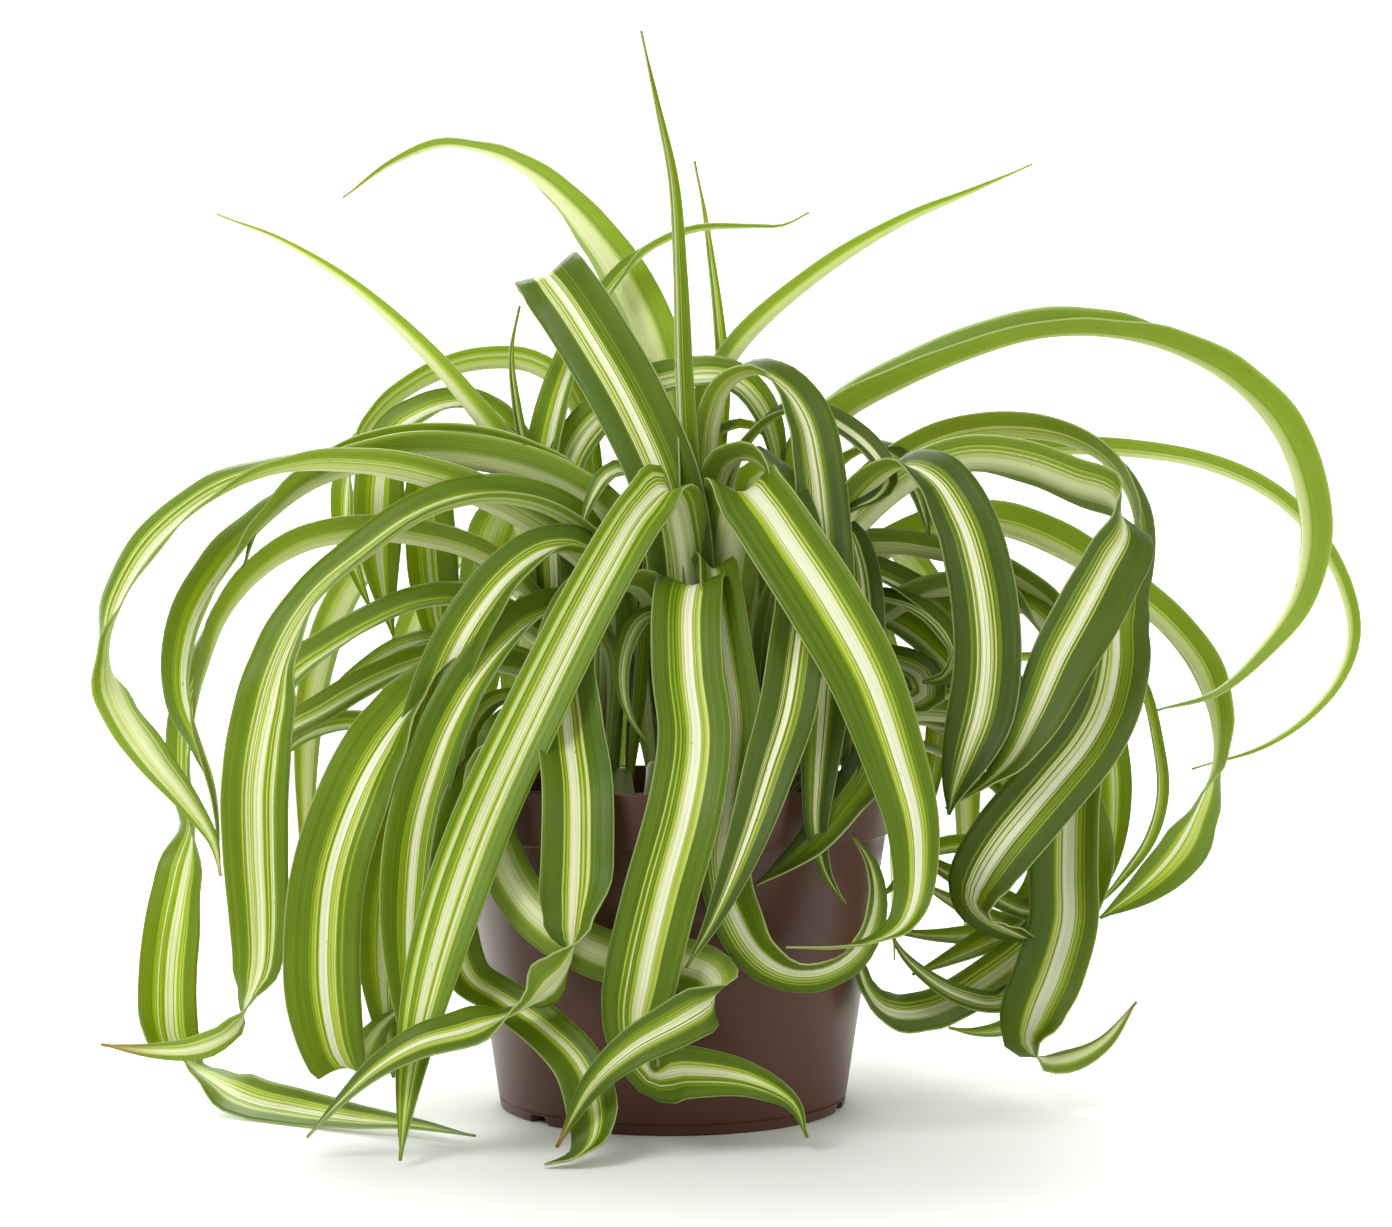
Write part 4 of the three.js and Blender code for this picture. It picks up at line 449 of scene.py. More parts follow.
# The share of a leaf that is dry and brown at its tip
DRY_TIPS = {
  "near_arch": 0.06,
  "shade_drop": 0.05,
  "under_fold": 0.04,
  "low_hook": 0.04,
  "wide_drop": 0.03,
}

# Leaves hidden from the front, drawn by chance: crown, directions of the first and the last in
# degrees from +X, number, shortest and longest reach, lowest and highest crest
HIDDEN = [
  ["rear", 62, 118, 5, 95, 135, 165, 215],
  ["rear", 48, 132, 2, 78, 92, 122, 146],
  ["rear_left", 112, 150, 3, 90, 120, 150, 195],
  ["rear_right", 36, 72, 3, 90, 125, 150, 190],
]

# What each hidden leaf's other values are drawn between, and what they all share
PLACES_APART = (0.3, 0.7)
END_HEIGHTS = (20, 90)
HIDDEN_WIDTHS = (13, 19)
TWISTS = (-40, 40)
SIDE_BENDS = (-0.12, 0.12)
HIDDEN_FOLDS = [50, 15]
HIDDEN_TAPER = 0.6
# The painted shade tone that every hidden leaf shares
HIDDEN_SHADE_TONE = 0.45

# What a leaf's materials read at each point of its blade: the place across it, from -1 to 1, the
# length along it in metres, the leaf's own number from 0 to 1, its painted shade tone, the share of its
# length, and how dry it is there
LEAF_VALUES = ("across", "along", "leaf", "tone", "share", "dry")
NUMBER_STEP = 0.618034


class Draws:
    """The same chance numbers as the CAD source draws, in the same order."""

    FACTOR = 48271
    LIMIT = 2147483647

    def __init__(self, seed):
        self.seed = seed

    def between(self, low, high):
        self.seed = (self.seed * self.FACTOR) % self.LIMIT
        return low + (high - low) * self.seed / self.LIMIT


chance = Draws(seed=20261)
EYE = Vector((EYE_SIDE, -EYE_AWAY, EYE_UP))
UP = Vector((0, 0, 1))


def smooth(value):
    held = min(max(value, 0), 1)
    return held * held * (3 - 2 * held)


def lerp(low, high, share):
    return low + (high - low) * share


def flat(vector, normal):
    return vector - normal * vector.dot(normal)


def sight(across, up, near):
    share = (EYE_AWAY - near) / EYE_AWAY
    return Vector((EYE_SIDE + (across - EYE_SIDE) * share, -near, EYE_UP + (up - EYE_UP) * share))


def facing(point, tangent, face):
    to_eye = flat(EYE - point, tangent).normalized()
    aside = tangent.cross(to_eye)
    angle = math.radians(face)
    return to_eye * math.cos(angle) + aside * math.sin(angle)


def rooted(crown, first):
    """A leaf's root in its stock and its neck, on the way to the first point of its route."""
    foot = Vector((*CROWNS[crown], ROOT_HEIGHT))
    outward = first - foot
    outward.z = 0
    root = foot + outward * min(ROOT_OFFSET / outward.length, 0.5)
    neck = root.lerp(first, NECK_ALONG)
    neck.z = lerp(ROOT_HEIGHT, first.z, NECK_UP)
    return [root, neck]


def spline_point(points, span, weight):
    """A point on the centripetal Catmull-Rom curve through the points."""
    last = len(points) - 1
    one, two = points[span], points[span + 1]
    before = points[span - 1] if span > 0 else 2 * points[0] - points[1]
    after = points[span + 2] if span + 2 <= last else 2 * points[last] - points[last - 1]
    gap_before = (before - one).length_squared ** 0.25
    gap = (one - two).length_squared ** 0.25
    gap_after = (two - after).length_squared ** 0.25
    leave = ((one - before) / gap_before - (two - before) / (gap_before + gap) + (two - one) / gap) * gap
    reach = ((two - one) / gap - (after - one) / (gap + gap_after) + (after - two) / gap_after) * gap
    square = weight * weight
    cube = square * weight
    return (one + leave * weight + (3 * (two - one) - 2 * leave - reach) * square
            + (2 * (one - two) + leave + reach) * cube)


def course(points, faces, normal_at):
    """Places along a leaf: point, tangent, normal of the upper side, length and share of it."""
    spots, knots = [], []
    for span in range(len(points) - 1):
        length = (points[span] - points[span + 1]).length
        parts = max(2, round(length / SLICE_STEP))
        knots.append(len(spots))
        spots += [spline_point(points, span, part / parts) for part in range(parts)]
    knots.append(len(spots))
    spots.append(points[-1].copy())
    last = len(spots) - 1
    tangents = [(spots[min(i + 1, last)] - spots[max(i - 1, 0)]).normalized() for i in range(last + 1)]
    lengths = [0.0]
    for index in range(last):
        lengths.append(lengths[-1] + (spots[index + 1] - spots[index]).length)
    carried = normal_at(spots[0], tangents[0], faces[0])
    normals = []
    for tangent in tangents:
        carried = flat(carried, tangent).normalized()
        normals.append(carried)
    rolls = {}
    order = [index for index, face in enumerate(faces) if face is not None]
    for index in order:
        knot = knots[index]
        wanted = normal_at(spots[knot], tangents[knot], faces[index])
        aside = tangents[knot].cross(normals[knot])
        rolls[index] = math.atan2(wanted.dot(aside), wanted.dot(normals[knot]))
    for before, index in zip(order, order[1:]):
        rolls[index] -= math.tau * round((rolls[index] - rolls[before]) / math.tau)
    turns = [rolls[order[-1]]] * (last + 1)
    for before, index in zip(order, order[1:]):
        start, end = knots[before], knots[index]
        for spot in range(start, end + 1):
            share = (lengths[spot] - lengths[start]) / (lengths[end] - lengths[start])
            turns[spot] = lerp(rolls[before], rolls[index], smooth(share))
    places = []
    for spot in range(last + 1):
        normal = Matrix.Rotation(turns[spot], 3, tangents[spot]) @ normals[spot]
        places.append((spots[spot], tangents[spot], normal, lengths[spot], lengths[spot] / lengths[-1]))
    return places


def half_width(width, taper, share):
    opening = BASE_WIDTH + (1 - BASE_WIDTH) * smooth(share / BASE_STRETCH)
    closing = 1 if share < taper else 1 - ((share - taper) / (1 - taper)) ** TAPER_POWER
    return max(0.5 * width * opening * closing, 0.5 * TIP_WIDTH)


def half_profile(fold):
    """Half a blade's section, from the keel to the margin, as shares of half its width."""
    steps = [(0, 0)]
    for bend in COLUMN_BENDS:
        angle = min(fold * bend, math.radians(STEEPEST))
        out, up = steps[-1]
        steps.append((out + math.cos(angle) / HALF_COLUMNS, up + math.sin(angle) / HALF_COLUMNS))
    return steps


def smooth_mesh(name, shape, *materials):
    """A mesh with smooth faces from a bmesh, which is freed."""
    mesh = bpy.data.meshes.new(name)
    shape.to_mesh(mesh)
    shape.free()
    for face in mesh.polygons:
        face.use_smooth = True
    for material in materials:
        mesh.materials.append(material)
    return mesh


def linked(name, data):
    """A new object that shows a mesh, a light or a camera in the scene."""
    piece = bpy.data.objects.new(name, data)
    bpy.context.scene.collection.objects.link(piece)
    return piece


class Rosette:
    """A rosette's blades gathered in one mesh, with what its materials read on each corner."""

    def __init__(self, crown):
        self.crown = crown
        self.mesh = bmesh.new()
        self.layers = [self.mesh.verts.layers.float.new(name) for name in LEAF_VALUES]

    def blade(self, places, width, folds, taper, tone, dry, number):
        rows, columns = len(places), 2 * HALF_COLUMNS + 1
        made = bmesh.ops.create_grid(self.mesh, x_segments=columns - 1, y_segments=rows - 1, size=0.5)
        verts = sorted(made["verts"], key=lambda vert: (round((vert.co.y + 0.5) * (rows - 1)), vert.co.x))
        for row, (point, tangent, normal, length, share) in enumerate(places):
            half = half_width(width, taper, share)
            fold = math.radians(lerp(*folds, smooth(share / FOLD_END)))
            aside = tangent.cross(normal)
            profile = half_profile(fold)
            edge = aside * (half * math.cos(fold))
            rise = normal * (half * math.sin(fold))
            lowest = min((point + edge + rise).z, (point - edge + rise).z, point.z - 0.5 * BLADE_THICKNESS)
            lift = max(0, FLOOR_GAP - lowest)
            dryness = smooth((share - 1) / dry + 1) if dry else 0
            for column in range(columns):
                step = column - HALF_COLUMNS
                out, up = profile[abs(step)]
                side = -1 if step < 0 else 1
                read_at = Vector((length * WAVE_RATE, number * LEAVES_APART + side * MARGINS_APART, 0.0))
                wave = WAVE_HEIGHT * noise.noise(read_at)
                wave *= (abs(step) / HALF_COLUMNS) ** 2 * min(half / FULL_WAVE, 1)
                vert = verts[row * columns + column]
                spot = point + aside * (half * out * side) + normal * (half * up + wave)
                spot.z = max(spot.z + lift, LOWEST)
                vert.co = spot * MM
                values = (step / HALF_COLUMNS, length * MM, number, tone, share, dryness)
                for layer, value in zip(self.layers, values):
                    vert[layer] = value

    def traced(self, row, number):
        name, width, folds, taper, route = row
        points = [sight(*entry[:3]) for entry in route]
        faces = [entry[3] if len(entry) > 3 else None for entry in route]
        known = next(face for face in faces if face is not None)
        places = course(rooted(self.crown, points[0]) + points, [known, known] + faces, facing)
        tone = SHADE_TONE_OF.get(name, USUAL_SHADE_TONE)
        self.blade(places, width, folds, taper, tone, DRY_TIPS.get(name, 0), number)

    def hidden(self, direction, reach, crest, end, width, twist, number):
        angle = math.radians(direction)
        outward = Vector((math.cos(angle), math.sin(angle), 0))
        aside = outward.cross(UP)
        bend = chance.between(*SIDE_BENDS)
        outline = [
            (0.1, lerp(SOIL_TOP, crest, 0.75)),
            (0.35, crest - 8),
            (0.55, crest),
            (0.8, crest - 18),
            (0.95, crest - 52),
            (1, max(end, 4)),
        ]
        foot = Vector((*CROWNS[self.crown], 0))
        route = []
        for share, height in outline:
            spot = foot + outward * (reach * share) + aside * (reach * bend * share * share)
            spot.z = height
            route.append(spot)
        points = rooted(self.crown, route[0]) + route
        faces = [twist * index / (len(points) - 1) for index in range(len(points))]

        def upper(point, tangent, turn):
            return Matrix.Rotation(math.radians(turn), 3, tangent) @ aside.cross(tangent).normalized()

        places = course(points, faces, upper)
        self.blade(places, width, HIDDEN_FOLDS, HIDDEN_TAPER, HIDDEN_SHADE_TONE, 0, number)

    def finish(self):
        name = f"blades_{self.crown}"
        self.mesh.normal_update()
        piece = linked(name, smooth_mesh(name, self.mesh, leaf_upper, leaf_under))
        sheet = piece.modifiers.new("sheet", "SOLIDIFY")
        sheet.thickness = SHEET_THICKNESS * MM
        sheet.offset = 0
        sheet.material_offset = 1
        sheet.use_rim = True
        sheet.use_quality_normals = True
        return piece


class Wire:
    """A socket, with the arithmetic that adds Math nodes behind it."""

    def __init__(self, shader, socket):
        self.shader = shader
        self.socket = socket

    def math(self, operation, *others):
        inputs = dict(enumerate((self, *others)))
        return self.shader.node("ShaderNodeMath", {"operation": operation}, inputs)

    def __add__(self, other):
        return self.math("ADD", other)

    def __sub__(self, other):
        return self.math("SUBTRACT", other)

    def __mul__(self, other):
        return self.math("MULTIPLY", other)

    def __abs__(self):
        return self.math("ABSOLUTE")

    def __rsub__(self, other):
        return (self * -1) + other

    __radd__ = __add__
    __rmul__ = __mul__

    def step(self, low, high):
        """0 below low, 1 above high, smooth between."""
        settings = {"interpolation_type": "SMOOTHSTEP"}
        inputs = {"Value": self, "From Min": low, "From Max": high, "To Min": 0, "To Max": 1}
        return self.shader.node("ShaderNodeMapRange", settings, inputs)

    def ramp(self, stops):
        """A colour ramp along this value: (position, colour) stops."""
        return self.shader.node("ShaderNodeValToRGB", {"stops": stops}, {"Fac": self})


class Shader:
    """A material and its one way of adding a node: type, settings, then values or links."""

    def __init__(self, name):
        self.material = bpy.data.materials.new(name)
        self.material.use_nodes = True
        self.tree = self.material.node_tree
        self.tree.nodes.clear()
        self.output = self.tree.nodes.new("ShaderNodeOutputMaterial")

    def node(self, kind, settings, inputs, output=0):
        node = self.tree.nodes.new(kind)
        for name, value in settings.items():
            if name == "stops":
                elements = node.color_ramp.elements
                while len(elements) < len(value):
                    elements.new(0.5)
                for element, (position, paint) in zip(elements, value):
                    element.position = position
                    element.color = paint
            else:
                setattr(node, name, value)
        for name, value in inputs.items():
            socket = node.inputs[name]
            if isinstance(value, Wire):
                self.tree.links.new(value.socket, socket)
            else:
                socket.default_value = value
        return Wire(self, node.outputs[output])

    def attribute(self, name):
        return self.node("ShaderNodeAttribute", {"attribute_name": name}, {}, "Fac")

    def place(self):
        return self.node("ShaderNodeTexCoord", {}, {}, "Object")

    def vector(self, x, y, z):
        return self.node("ShaderNodeCombineXYZ", {}, {"X": x, "Y": y, "Z": z})

    def noise(self, vector, scale, detail):
        inputs = {"Vector": vector, "Scale": scale, "Detail": detail}
        return self.node("ShaderNodeTexNoise", {}, inputs, "Fac")

    def mix(self, factor, one, other, blend="MIX"):
        settings = {"data_type": "RGBA", "blend_type": blend}
        return self.node("ShaderNodeMix", settings, {0: factor, 6: one, 7: other}, 2)

    def bump(self, height, strength, distance):
        inputs = {"Height": height, "Strength": strength, "Distance": distance}
        return self.node("ShaderNodeBump", {}, inputs)

    def principled(self, inputs):
        return self.node("ShaderNodeBsdfPrincipled", {}, inputs)

    def surface(self, shader):
        self.tree.links.new(shader.socket, self.output.inputs["Surface"])
        return self.material


def colour(red, green, blue):
    """A colour read as 0 to 255 on a screen, in linear light and opaque."""
    parts = [value / 255 for value in (red, green, blue)]
    linear = [part / 12.92 if part <= 0.04045 else ((part + 0.055) / 1.055) ** 2.4 for part in parts]
    return (*linear, 1)


# A blade's colour by how pale it is: for the darkest leaves, painted as shaded, and for the palest, painted
# as lit
SHADED_STOPS = [
    (0.0, colour(32, 46, 6)),
    (0.26, colour(50, 68, 4)),
    (0.42, colour(94, 114, 6)),
    (0.55, colour(146, 162, 38)),
    (0.64, colour(188, 196, 116)),
    (0.78, colour(222, 222, 200)),
]
LIT_STOPS = [
    (0.0, colour(90, 120, 4)),
    (0.26, colour(116, 148, 0)),
    (0.42, colour(152, 182, 6)),
    (0.55, colour(190, 208, 62)),
    (0.64, colour(206, 218, 122)),
    (0.78, colour(228, 228, 206)),
]

# A blade's other colours
# A painted grey-green sheen, standing for light reflected off one margin, in a shaded and a lit version
SHADED_SHEEN = colour(52, 78, 40)
LIT_SHEEN = colour(88, 132, 62)
VEIN_SHADE = (0.4, 0.4, 0.3, 1)
MARGIN_CREAM = colour(196, 206, 140)
UNDER_GREEN = colour(170, 194, 90)
KEEL_CREAM = colour(232, 234, 184)
MOTTLE_DARK = colour(40, 60, 20)
MOTTLE_LIGHT = colour(250, 250, 210)
SPECK_BROWN = colour(70, 62, 24)
DRY_BROWN = colour(146, 104, 58)
LIGHT_THROUGH = colour(206, 218, 66)

# The cream stripe, in shares of half the blade: half its least width, how much wider it may be,
# how soft its edge is, how far off the keel it may lie, and how far it wanders
STRIPE_HALF = 0.06
STRIPE_WIDER = 0.1
STRIPE_EDGE = 0.04
STRIPE_ASIDE = 0.3
STRIPE_WANDER = 0.14

# How pale a blade is, from 0 to 1: its plain green, what each mark adds to it, how far each
# noise moves it, and what the tip and the under side change
PLAIN_PALE = 0.17
INNER_PALE = 0.25
STRIPE_PALE = 0.34
LINE_PALE = 0.12
LINE_SPREAD = 0.16
HAIR_PALE = 0.16
STREAK_SPREAD = 0.3
FINE_SPREAD = 0.3
THREAD_SPREAD = 0.34
TIP_DARKER = 0.2
UNDER_PALER = 0.1

# How strongly the other colours are laid over a blade, the painted sheen first
SHEEN_SHARE = 0.42
VEIN_SHARE = 0.24
MARGIN_SHARE = 0.5
UNDER_SHARE = 0.25
MOTTLE_SHARE = 0.14
SPECK_SHARE = 0.7

# A blade's finish: how rough each side is, how much light comes through, and how much less of it
# through the stripe
UPPER_ROUGH = 0.36
UNDER_ROUGH = 0.5
THROUGH = 0.3
STRIPE_STOPS = 0.1


def leaf_material(name, under):
    """A blade's upper or under side: striped, veined and specked along its length."""
    shader = Shader(name)
    across, along, leaf, tone, share, dry = [shader.attribute(value) for value in LEAF_VALUES]
    reach = abs(across)

    # What sets one leaf apart from another: where its noise is read, and two numbers of its own
    lane = leaf * 37.0
    first = (leaf * 7.31).math("FRACT")
    second = (leaf * 3.77).math("FRACT")

    def grain(across_scale, along_scale, leaf_scale, detail=1.0):
        """Noise drawn out along the blade, another on every leaf."""
        place = shader.vector(across * across_scale + lane, along * along_scale, leaf * leaf_scale)
        return shader.noise(place, 1.0, detail)

    broad = shader.noise(shader.vector(leaf * 90.0, along * 5.0, leaf * 7.0), 1.0, 1.0)
    band = grain(5.0, 1.4, 5.0)
    streak = grain(16.0, 2.4, 9.0)
    fine = grain(20.0, 1.8, 11.0)
    thread = grain(30.0, 4.0, 3.0)
    mottle = grain(3.0, 60.0, 1.0, 3.0)
    speck = grain(9.0, 420.0, 13.0, 0.0)

    # The stripe, the band around it, and the lines and hairs inside that band
    centred = abs(across + (leaf - 0.5) * STRIPE_ASIDE) + (band - 0.5) * STRIPE_WANDER
    narrow = STRIPE_HALF + first * STRIPE_WIDER
    stripe = 1 - centred.step(narrow, narrow + STRIPE_EDGE)
    inner = 1 - (centred + (band - 0.5) * 0.5).step(0.3 + second * 0.14, 0.42 + second * 0.3)
    line = streak.step(0.53, 0.58) * inner
    hair = fine.step(0.53, 0.65) * inner
    # Painted shade: a leaf of the darkest shade tone, deep in shadow, shows no stripe marks
    striped = tone.step(0.01, 0.04)
    marks = stripe * STRIPE_PALE + line * (LINE_PALE + second * LINE_SPREAD) + hair * HAIR_PALE
    pale = PLAIN_PALE + inner * INNER_PALE + striped * marks
    pale = pale + (streak - 0.5) * STREAK_SPREAD + (fine - 0.5) * FINE_SPREAD
    pale = pale + (thread - 0.5) * THREAD_SPREAD - share.step(0.86, 1.0) * TIP_DARKER
    if under:
        pale = pale + UNDER_PALER
    # Painted light and shade: the shade tone blends a shaded copy of the blade's colours with a lit one
    paint = shader.mix(tone, pale.ramp(SHADED_STOPS), pale.ramp(LIT_STOPS))

    # A painted grey-green sheen on one side, standing for light reflected off that margin, darker veins and
    # a pale margin
    aside = across * (first.step(0.45, 0.55) * 2 - 1)
    painted_sheen = aside.step(0.35, 0.95) * broad.step(0.4, 0.6)
    paint = shader.mix(painted_sheen * SHEEN_SHARE, paint, shader.mix(tone, SHADED_SHEEN, LIT_SHEEN))
    vein = 1 - thread.step(0.36, 0.56)
    paint = shader.mix(vein * VEIN_SHARE, paint, VEIN_SHADE, "MULTIPLY")
    margin = reach.step(0.965, 0.99)
    paint = shader.mix(margin * MARGIN_SHARE, paint, MARGIN_CREAM)

    if under:
        keel = 1 - (reach + (streak - 0.5) * 0.2).step(0.2 + first * 0.16, 0.28 + first * 0.2)
        paint = shader.mix(UNDER_SHARE, paint, UNDER_GREEN)
        paint = shader.mix(keel * (0.4 + thread * 0.3), paint, KEEL_CREAM)

    paint = shader.mix(MOTTLE_SHARE, paint, shader.mix(mottle, MOTTLE_DARK, MOTTLE_LIGHT), "OVERLAY")
    paint = shader.mix(speck.step(0.84, 0.88) * SPECK_SHARE, paint, SPECK_BROWN)
    paint = shader.mix(dry, paint, DRY_BROWN)
    body = shader.principled({
        "Base Color": paint, "Roughness": (UNDER_ROUGH if under else UPPER_ROUGH) + mottle * 0.14,
        "Normal": shader.bump(thread, 0.4, 0.0003), "IOR": 1.42, "Specular IOR Level": 0.38,
    })
    glow = shader.node("ShaderNodeBsdfTranslucent", {}, {"Color": LIGHT_THROUGH})
    through = THROUGH - stripe * STRIPE_STOPS
    return shader.surface(shader.node("ShaderNodeMixShader", {}, {0: through, 1: body, 2: glow}))


def pot_material():
    """Brown moulded plastic with a soft gloss and a fine grain."""
    shader = Shader("pot_plastic")
    place = shader.place()
    grain = shader.noise(place, 900.0, 3.0)
    cloud = shader.noise(place, 30.0, 3.0)
    return shader.surface(shader.principled({
        "Base Color": shader.mix(cloud, colour(66, 35, 20), colour(76, 43, 27)),
        "Roughness": 0.32 + cloud * 0.1, "Normal": shader.bump(grain, 0.08, 0.0002),
        "IOR": 1.5, "Specular IOR Level": 0.33,
    }))


def soil_material():
    """Dark crumbly potting mix."""
    shader = Shader("soil")
    crumbs = shader.noise(shader.place(), 420.0, 4.0)
    return shader.surface(shader.principled({
        "Base Color": shader.mix(crumbs, colour(28, 20, 14), colour(78, 60, 44)),
        "Roughness": 0.95, "Normal": shader.bump(crumbs, 0.9, 0.002),
    }))


def stock_material():
    """Pale leaf sheaths, with bands drawn out upwards."""
    shader = Shader("leaf_sheaths")
    drawn_out = {"Vector": shader.place(), "Scale": (500.0, 500.0, 20.0)}
    bands = shader.noise(shader.node("ShaderNodeMapping", {}, drawn_out), 1.0, 2.0)
    paint = shader.mix(bands, colour(120, 140, 66), colour(216, 216, 176))
    return shader.surface(shader.principled({"Base Color": paint, "Roughness": 0.5}))


def floor_material():
    """A pale floor that glows a little away from the plant, so that it stays white there."""
    shader = Shader("pale_floor")
    place = shader.place()
    away = shader.node("ShaderNodeSeparateXYZ", {}, {"Vector": place}, "Y")
    aside = abs(shader.node("ShaderNodeSeparateXYZ", {}, {"Vector": place}, "X"))
    clear = 1 - (1 - aside.step(0.05, 0.2)) * (1 - away.step(0.0, 0.3))
    bright = clear * 0.4 + away.step(0.8, 1.8) * 0.5
    return shader.surface(shader.principled({
        "Base Color": (0.7, 0.71, 0.68, 1), "Roughness": 0.6,
        "Emission Color": shader.vector(bright, bright, bright), "Emission Strength": 1.0,
    }))


def drawn(points):
    """A new bmesh with its points joined by edges."""
    shape = bmesh.new()
    verts = [shape.verts.new(point) for point in points]
    edges = [shape.edges.new(pair) for pair in zip(verts, verts[1:])]
    return shape, verts, edges


def spun(profile, steps):
    """A closed shape turned about the pot's axis from (radius, height) points."""
    shape, verts, edges = drawn([(radius * MM, 0, height * MM) for radius, height in profile])
    bmesh.ops.spin(shape, geom=verts + edges, cent=(0, 0, 0), axis=(0, 0, 1), angle=math.tau,
                   steps=steps, use_merge=True)
    bmesh.ops.remove_doubles(shape, verts=shape.verts, dist=1e-6)
    bmesh.ops.recalc_face_normals(shape, faces=shape.faces)
    return shape


def placed(name, shape, material, smooth_angle):
    mesh = smooth_mesh(name, shape, material)
    mesh.set_sharp_from_angle(angle=math.radians(smooth_angle))
    return linked(name, mesh)


def body_at(height):
    """The pot's outer radius at a height below its rim band."""
    slope = (RIM_OUTER - RIM_STEP - FOOT_OUTER) / BAND_BOTTOM
    return FOOT_OUTER + slope * height


def make_pot():
    profile = [
        (0, 0),
        (PAD_RADIUS, 0),
        (PAD_RADIUS + 0.8, FOOT_HOLLOW),
        (FOOT_OUTER - FOOT_WIDTH, FOOT_HOLLOW),
        (FOOT_OUTER - 4, 0),
        (FOOT_OUTER - 1.2, 0),
        (FOOT_OUTER - 0.5, 0.12),
        (body_at(0.7), 0.7),
        (body_at(FOOT_RING), FOOT_RING),
        (body_at(FOOT_RING) - LINE_DEPTH, FOOT_RING + 0.1),
        (body_at(FOOT_RING + 0.5) - LINE_DEPTH, FOOT_RING + 0.5),
        (body_at(FOOT_RING + 0.6), FOOT_RING + 0.6),
        (body_at(BAND_BOTTOM), BAND_BOTTOM),
        (RIM_OUTER - 0.7, BAND_BOTTOM + 0.05),
        (RIM_OUTER - 0.35, BAND_BOTTOM + 0.5),
        (RIM_OUTER, POT_HEIGHT - 0.9),
        (RIM_OUTER - 0.15, POT_HEIGHT - 0.3),
        (RIM_OUTER - 0.6, POT_HEIGHT),
        (RIM_OUTER - WALL + 0.3, POT_HEIGHT),
        (RIM_OUTER - WALL, POT_HEIGHT - 0.3),
        (RIM_OUTER - WALL - 0.2, BAND_BOTTOM),
        (body_at(INNER_STEP) - WALL, INNER_STEP),
        (body_at(FOOT_HOLLOW + FLOOR_THICKNESS) - WALL, FOOT_HOLLOW + FLOOR_THICKNESS),
        (0, FOOT_HOLLOW + FLOOR_THICKNESS),
    ]
    shape = spun(profile, POT_STEPS)
    half_notch = math.degrees(NOTCH_WIDTH / 2 / FOOT_OUTER)
    for vert in shape.verts:
        radius = math.hypot(vert.co.x, vert.co.y) / MM
        if radius < FOOT_OUTER - FOOT_WIDTH - 0.2 or vert.co.z > (FOOT_HOLLOW + 0.1) * MM:
            continue
        angle = math.degrees(math.atan2(vert.co.x, -vert.co.y))
        for notch in NOTCH_ANGLES:
            if abs((angle - notch + 180) % 360 - 180) < half_notch:
                vert.co.z = NOTCH_HEIGHT * MM
    return placed("pot_shell", shape, pot_plastic, 30)


def make_soil():
    bottom = FOOT_HOLLOW + FLOOR_THICKNESS + SOIL_GAP
    outer = body_at(INNER_STEP) - WALL - SOIL_GAP
    dome = []
    for ring in range(SOIL_RINGS, -1, -1):
        share = ring / SOIL_RINGS
        dome.append(((outer - SOIL_SHOULDER) * share, SOIL_TOP + SOIL_CROWN * (1 - share ** 2)))
    profile = [
        (0, bottom),
        (body_at(bottom) - WALL - SOIL_GAP, bottom),
        (outer, INNER_STEP),
        (outer, SOIL_TOP - 1),
        *dome,
    ]
    shape = spun(profile, SOIL_STEPS)
    for vert in shape.verts:
        if vert.co.z > (SOIL_TOP - 0.5) * MM:
            lump = noise.fractal(vert.co * LUMP_RATE, 1.0, 2.0, 4)
            vert.co.z = min(vert.co.z + lump * LUMP_HEIGHT * MM, (SOIL_TOP + SOIL_CROWN) * MM)
    return placed("soil_fill", shape, soil_dark, 80)


def make_stock(crown):
    """The leaves' sheathing bases, wrapped into one short stock."""
    x, y = CROWNS[crown]
    profile = [
        (0, STOCK_BOTTOM),
        (STOCK_RADIUS - 0.3, STOCK_BOTTOM),
        (STOCK_RADIUS, SOIL_TOP),
        (STOCK_RADIUS - 0.9, SOIL_TOP + 5),
        (STOCK_RADIUS - 1.8, SOIL_TOP + 11),
        (STOCK_RADIUS - 2.8, STOCK_TOP - 0.6),
        (0, STOCK_TOP),
    ]
    shape = spun(profile, STOCK_STEPS)
    for vert in shape.verts:
        angle = math.atan2(vert.co.y, vert.co.x)
        squeeze = 1 - SHEATH_DEPTH * (1 + math.sin(angle * SHEATHS + vert.co.z / MM * SHEATH_TWIST))
        vert.co.x = vert.co.x * squeeze + x * MM
        vert.co.y = vert.co.y * squeeze + y * MM
    return placed(f"stock_{crown}", shape, sheath, 35)


leaf_upper = leaf_material("leaf_upper", False)
leaf_under = leaf_material("leaf_under", True)
pot_plastic = pot_material()
soil_dark = soil_material()
sheath = stock_material()

pot = make_pot()
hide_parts("pot")
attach(pot, "root")

soil = make_soil()
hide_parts("soil")
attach(soil, "root")

leaves_made = 0
for crown in CROWNS:
    rosette = Rosette(crown)
    for row in LEAVES[crown]:
        leaves_made += 1
        rosette.traced(row, (leaves_made * NUMBER_STEP) % 1)
    for rule_crown, first, last, count, near, far, low, high in HIDDEN:
        if rule_crown != crown:
            continue
        for index in range(count):
            direction = lerp(first, last, (index + chance.between(*PLACES_APART)) / count)
            reach = chance.between(near, far)
            crest = chance.between(low, high)
            end = chance.between(*END_HEIGHTS)
            width = chance.between(*HIDDEN_WIDTHS)
            twist = chance.between(*TWISTS)
            leaves_made += 1
            rosette.hidden(direction, reach, crest, end, width, twist, (leaves_made * NUMBER_STEP) % 1)
    blades = rosette.finish()
    stock = make_stock(crown)
    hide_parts(f"rosette_{crown}")
    for piece in (blades, stock):
        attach(piece, "root")


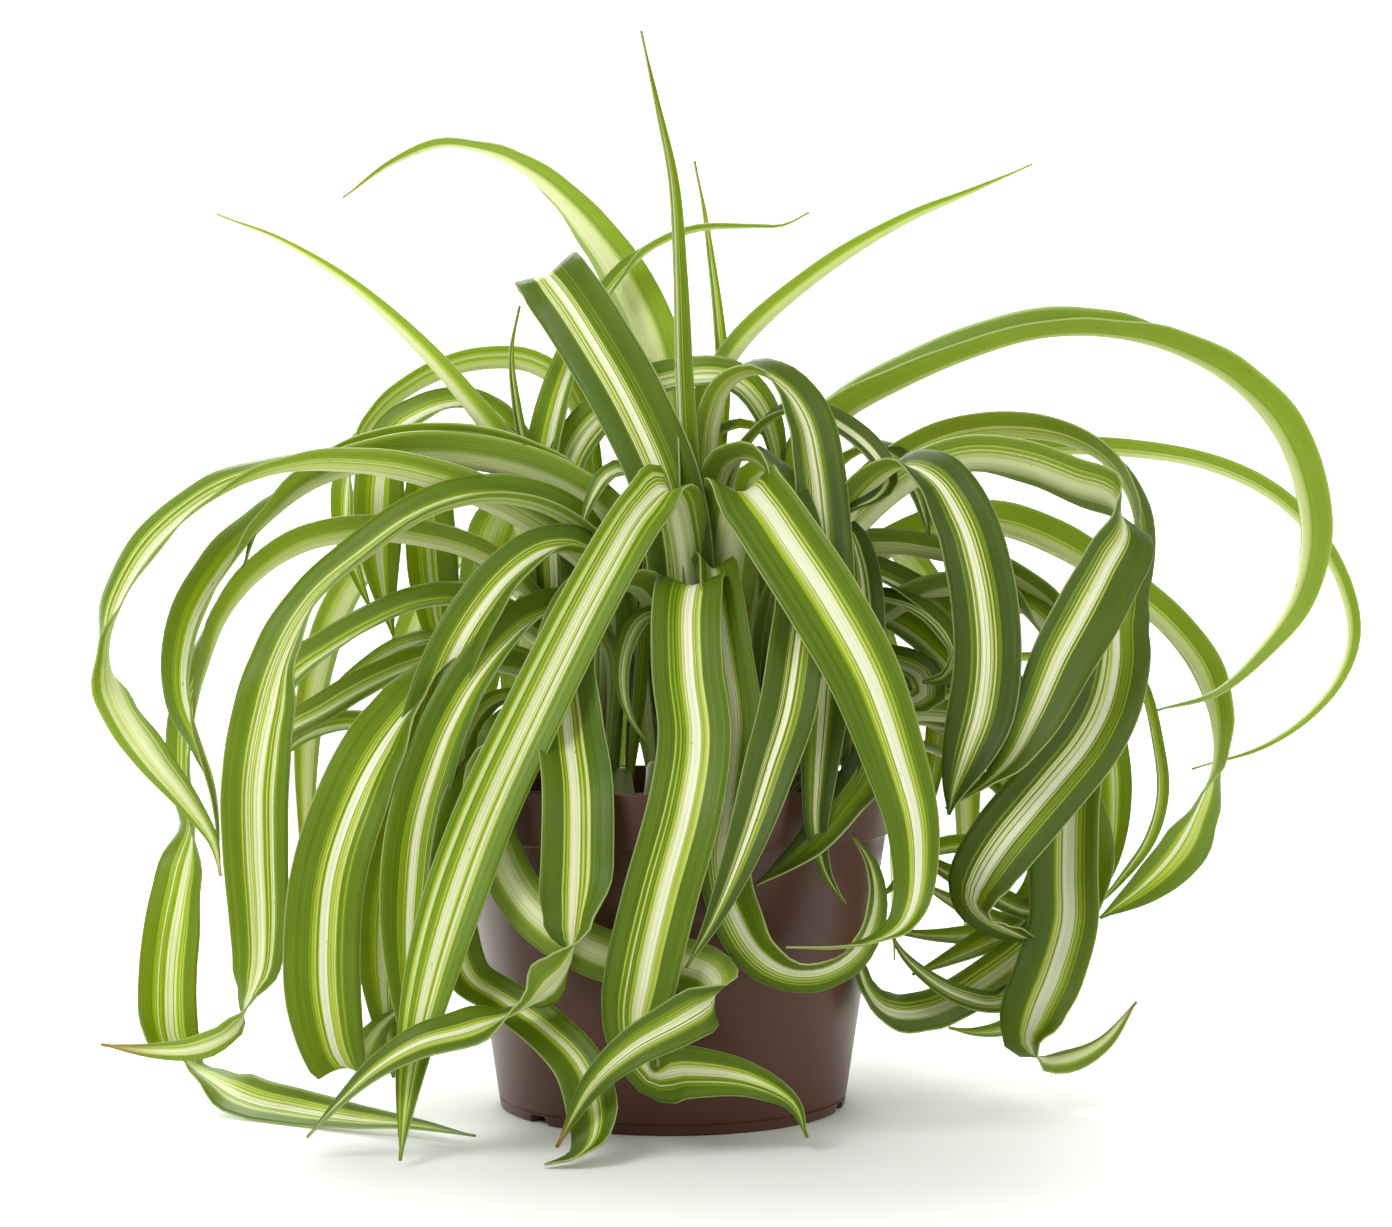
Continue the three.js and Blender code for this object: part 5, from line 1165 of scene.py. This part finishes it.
def make_backdrop():
    """A pale floor that sweeps up to a wall far behind the plant."""
    line = [(FLOOR_NEAR, 0.0), (FLOOR_FAR, 0.0)]
    for step in range(1, BEND_STEPS + 1):
        angle = math.pi / 2 * step / BEND_STEPS
        line.append((FLOOR_FAR + FLOOR_BEND * math.sin(angle), FLOOR_BEND * (1 - math.cos(angle))))
    line.append((FLOOR_FAR + FLOOR_BEND, WALL_TOP))
    shape, verts, edges = drawn([(-FLOOR_WIDTH / 2, y, z) for y, z in line])
    swept = bmesh.ops.extrude_edge_only(shape, edges=edges)["geom"]
    moved = [part for part in swept if isinstance(part, bmesh.types.BMVert)]
    bmesh.ops.translate(shape, vec=(FLOOR_WIDTH, 0, 0), verts=moved)
    bmesh.ops.recalc_face_normals(shape, faces=shape.faces)
    return placed("backdrop", shape, floor_material(), 60)


make_backdrop()


def area_light(name, place, aim, size, watts):
    light = bpy.data.lights.new(name, "AREA")
    light.shape = "DISK"
    light.size = size
    light.energy = watts
    lamp = linked(name, light)
    lamp.location = place
    lamp.rotation_euler = (Vector(aim) - Vector(place)).to_track_quat("-Z", "Y").to_euler()


area_light("key", place=(-0.7, -0.9, 1.1), aim=(0, 0, 0.12), size=0.7, watts=14)
area_light("back", place=(-0.15, 0.65, 0.95), aim=(0, 0, 0.15), size=0.8, watts=16)
area_light("fill", place=(0.9, -0.5, 0.5), aim=(0, 0, 0.12), size=0.8, watts=3)
area_light("edge", place=(-0.85, 0.6, 0.2), aim=(0, 0, 0.08), size=0.6, watts=5)

world = bpy.data.worlds.new("studio")
bpy.context.scene.world = world
world.use_nodes = True
background = world.node_tree.nodes["Background"]
background.inputs["Color"].default_value = (1, 1, 1, 1)
background.inputs["Strength"].default_value = 0.8

lens = bpy.data.cameras.new("photo_view")
lens.sensor_width = 36
lens.lens = LENS_LENGTH
camera = linked("photo_view", lens)
camera.location = (EYE_SIDE * MM, -EYE_AWAY * MM, EYE_UP * MM)
camera.rotation_euler = (math.radians(90 - LENS_DROP), 0, 0)
bpy.context.scene.camera = camera
bpy.context.scene.view_settings.view_transform = "Standard"
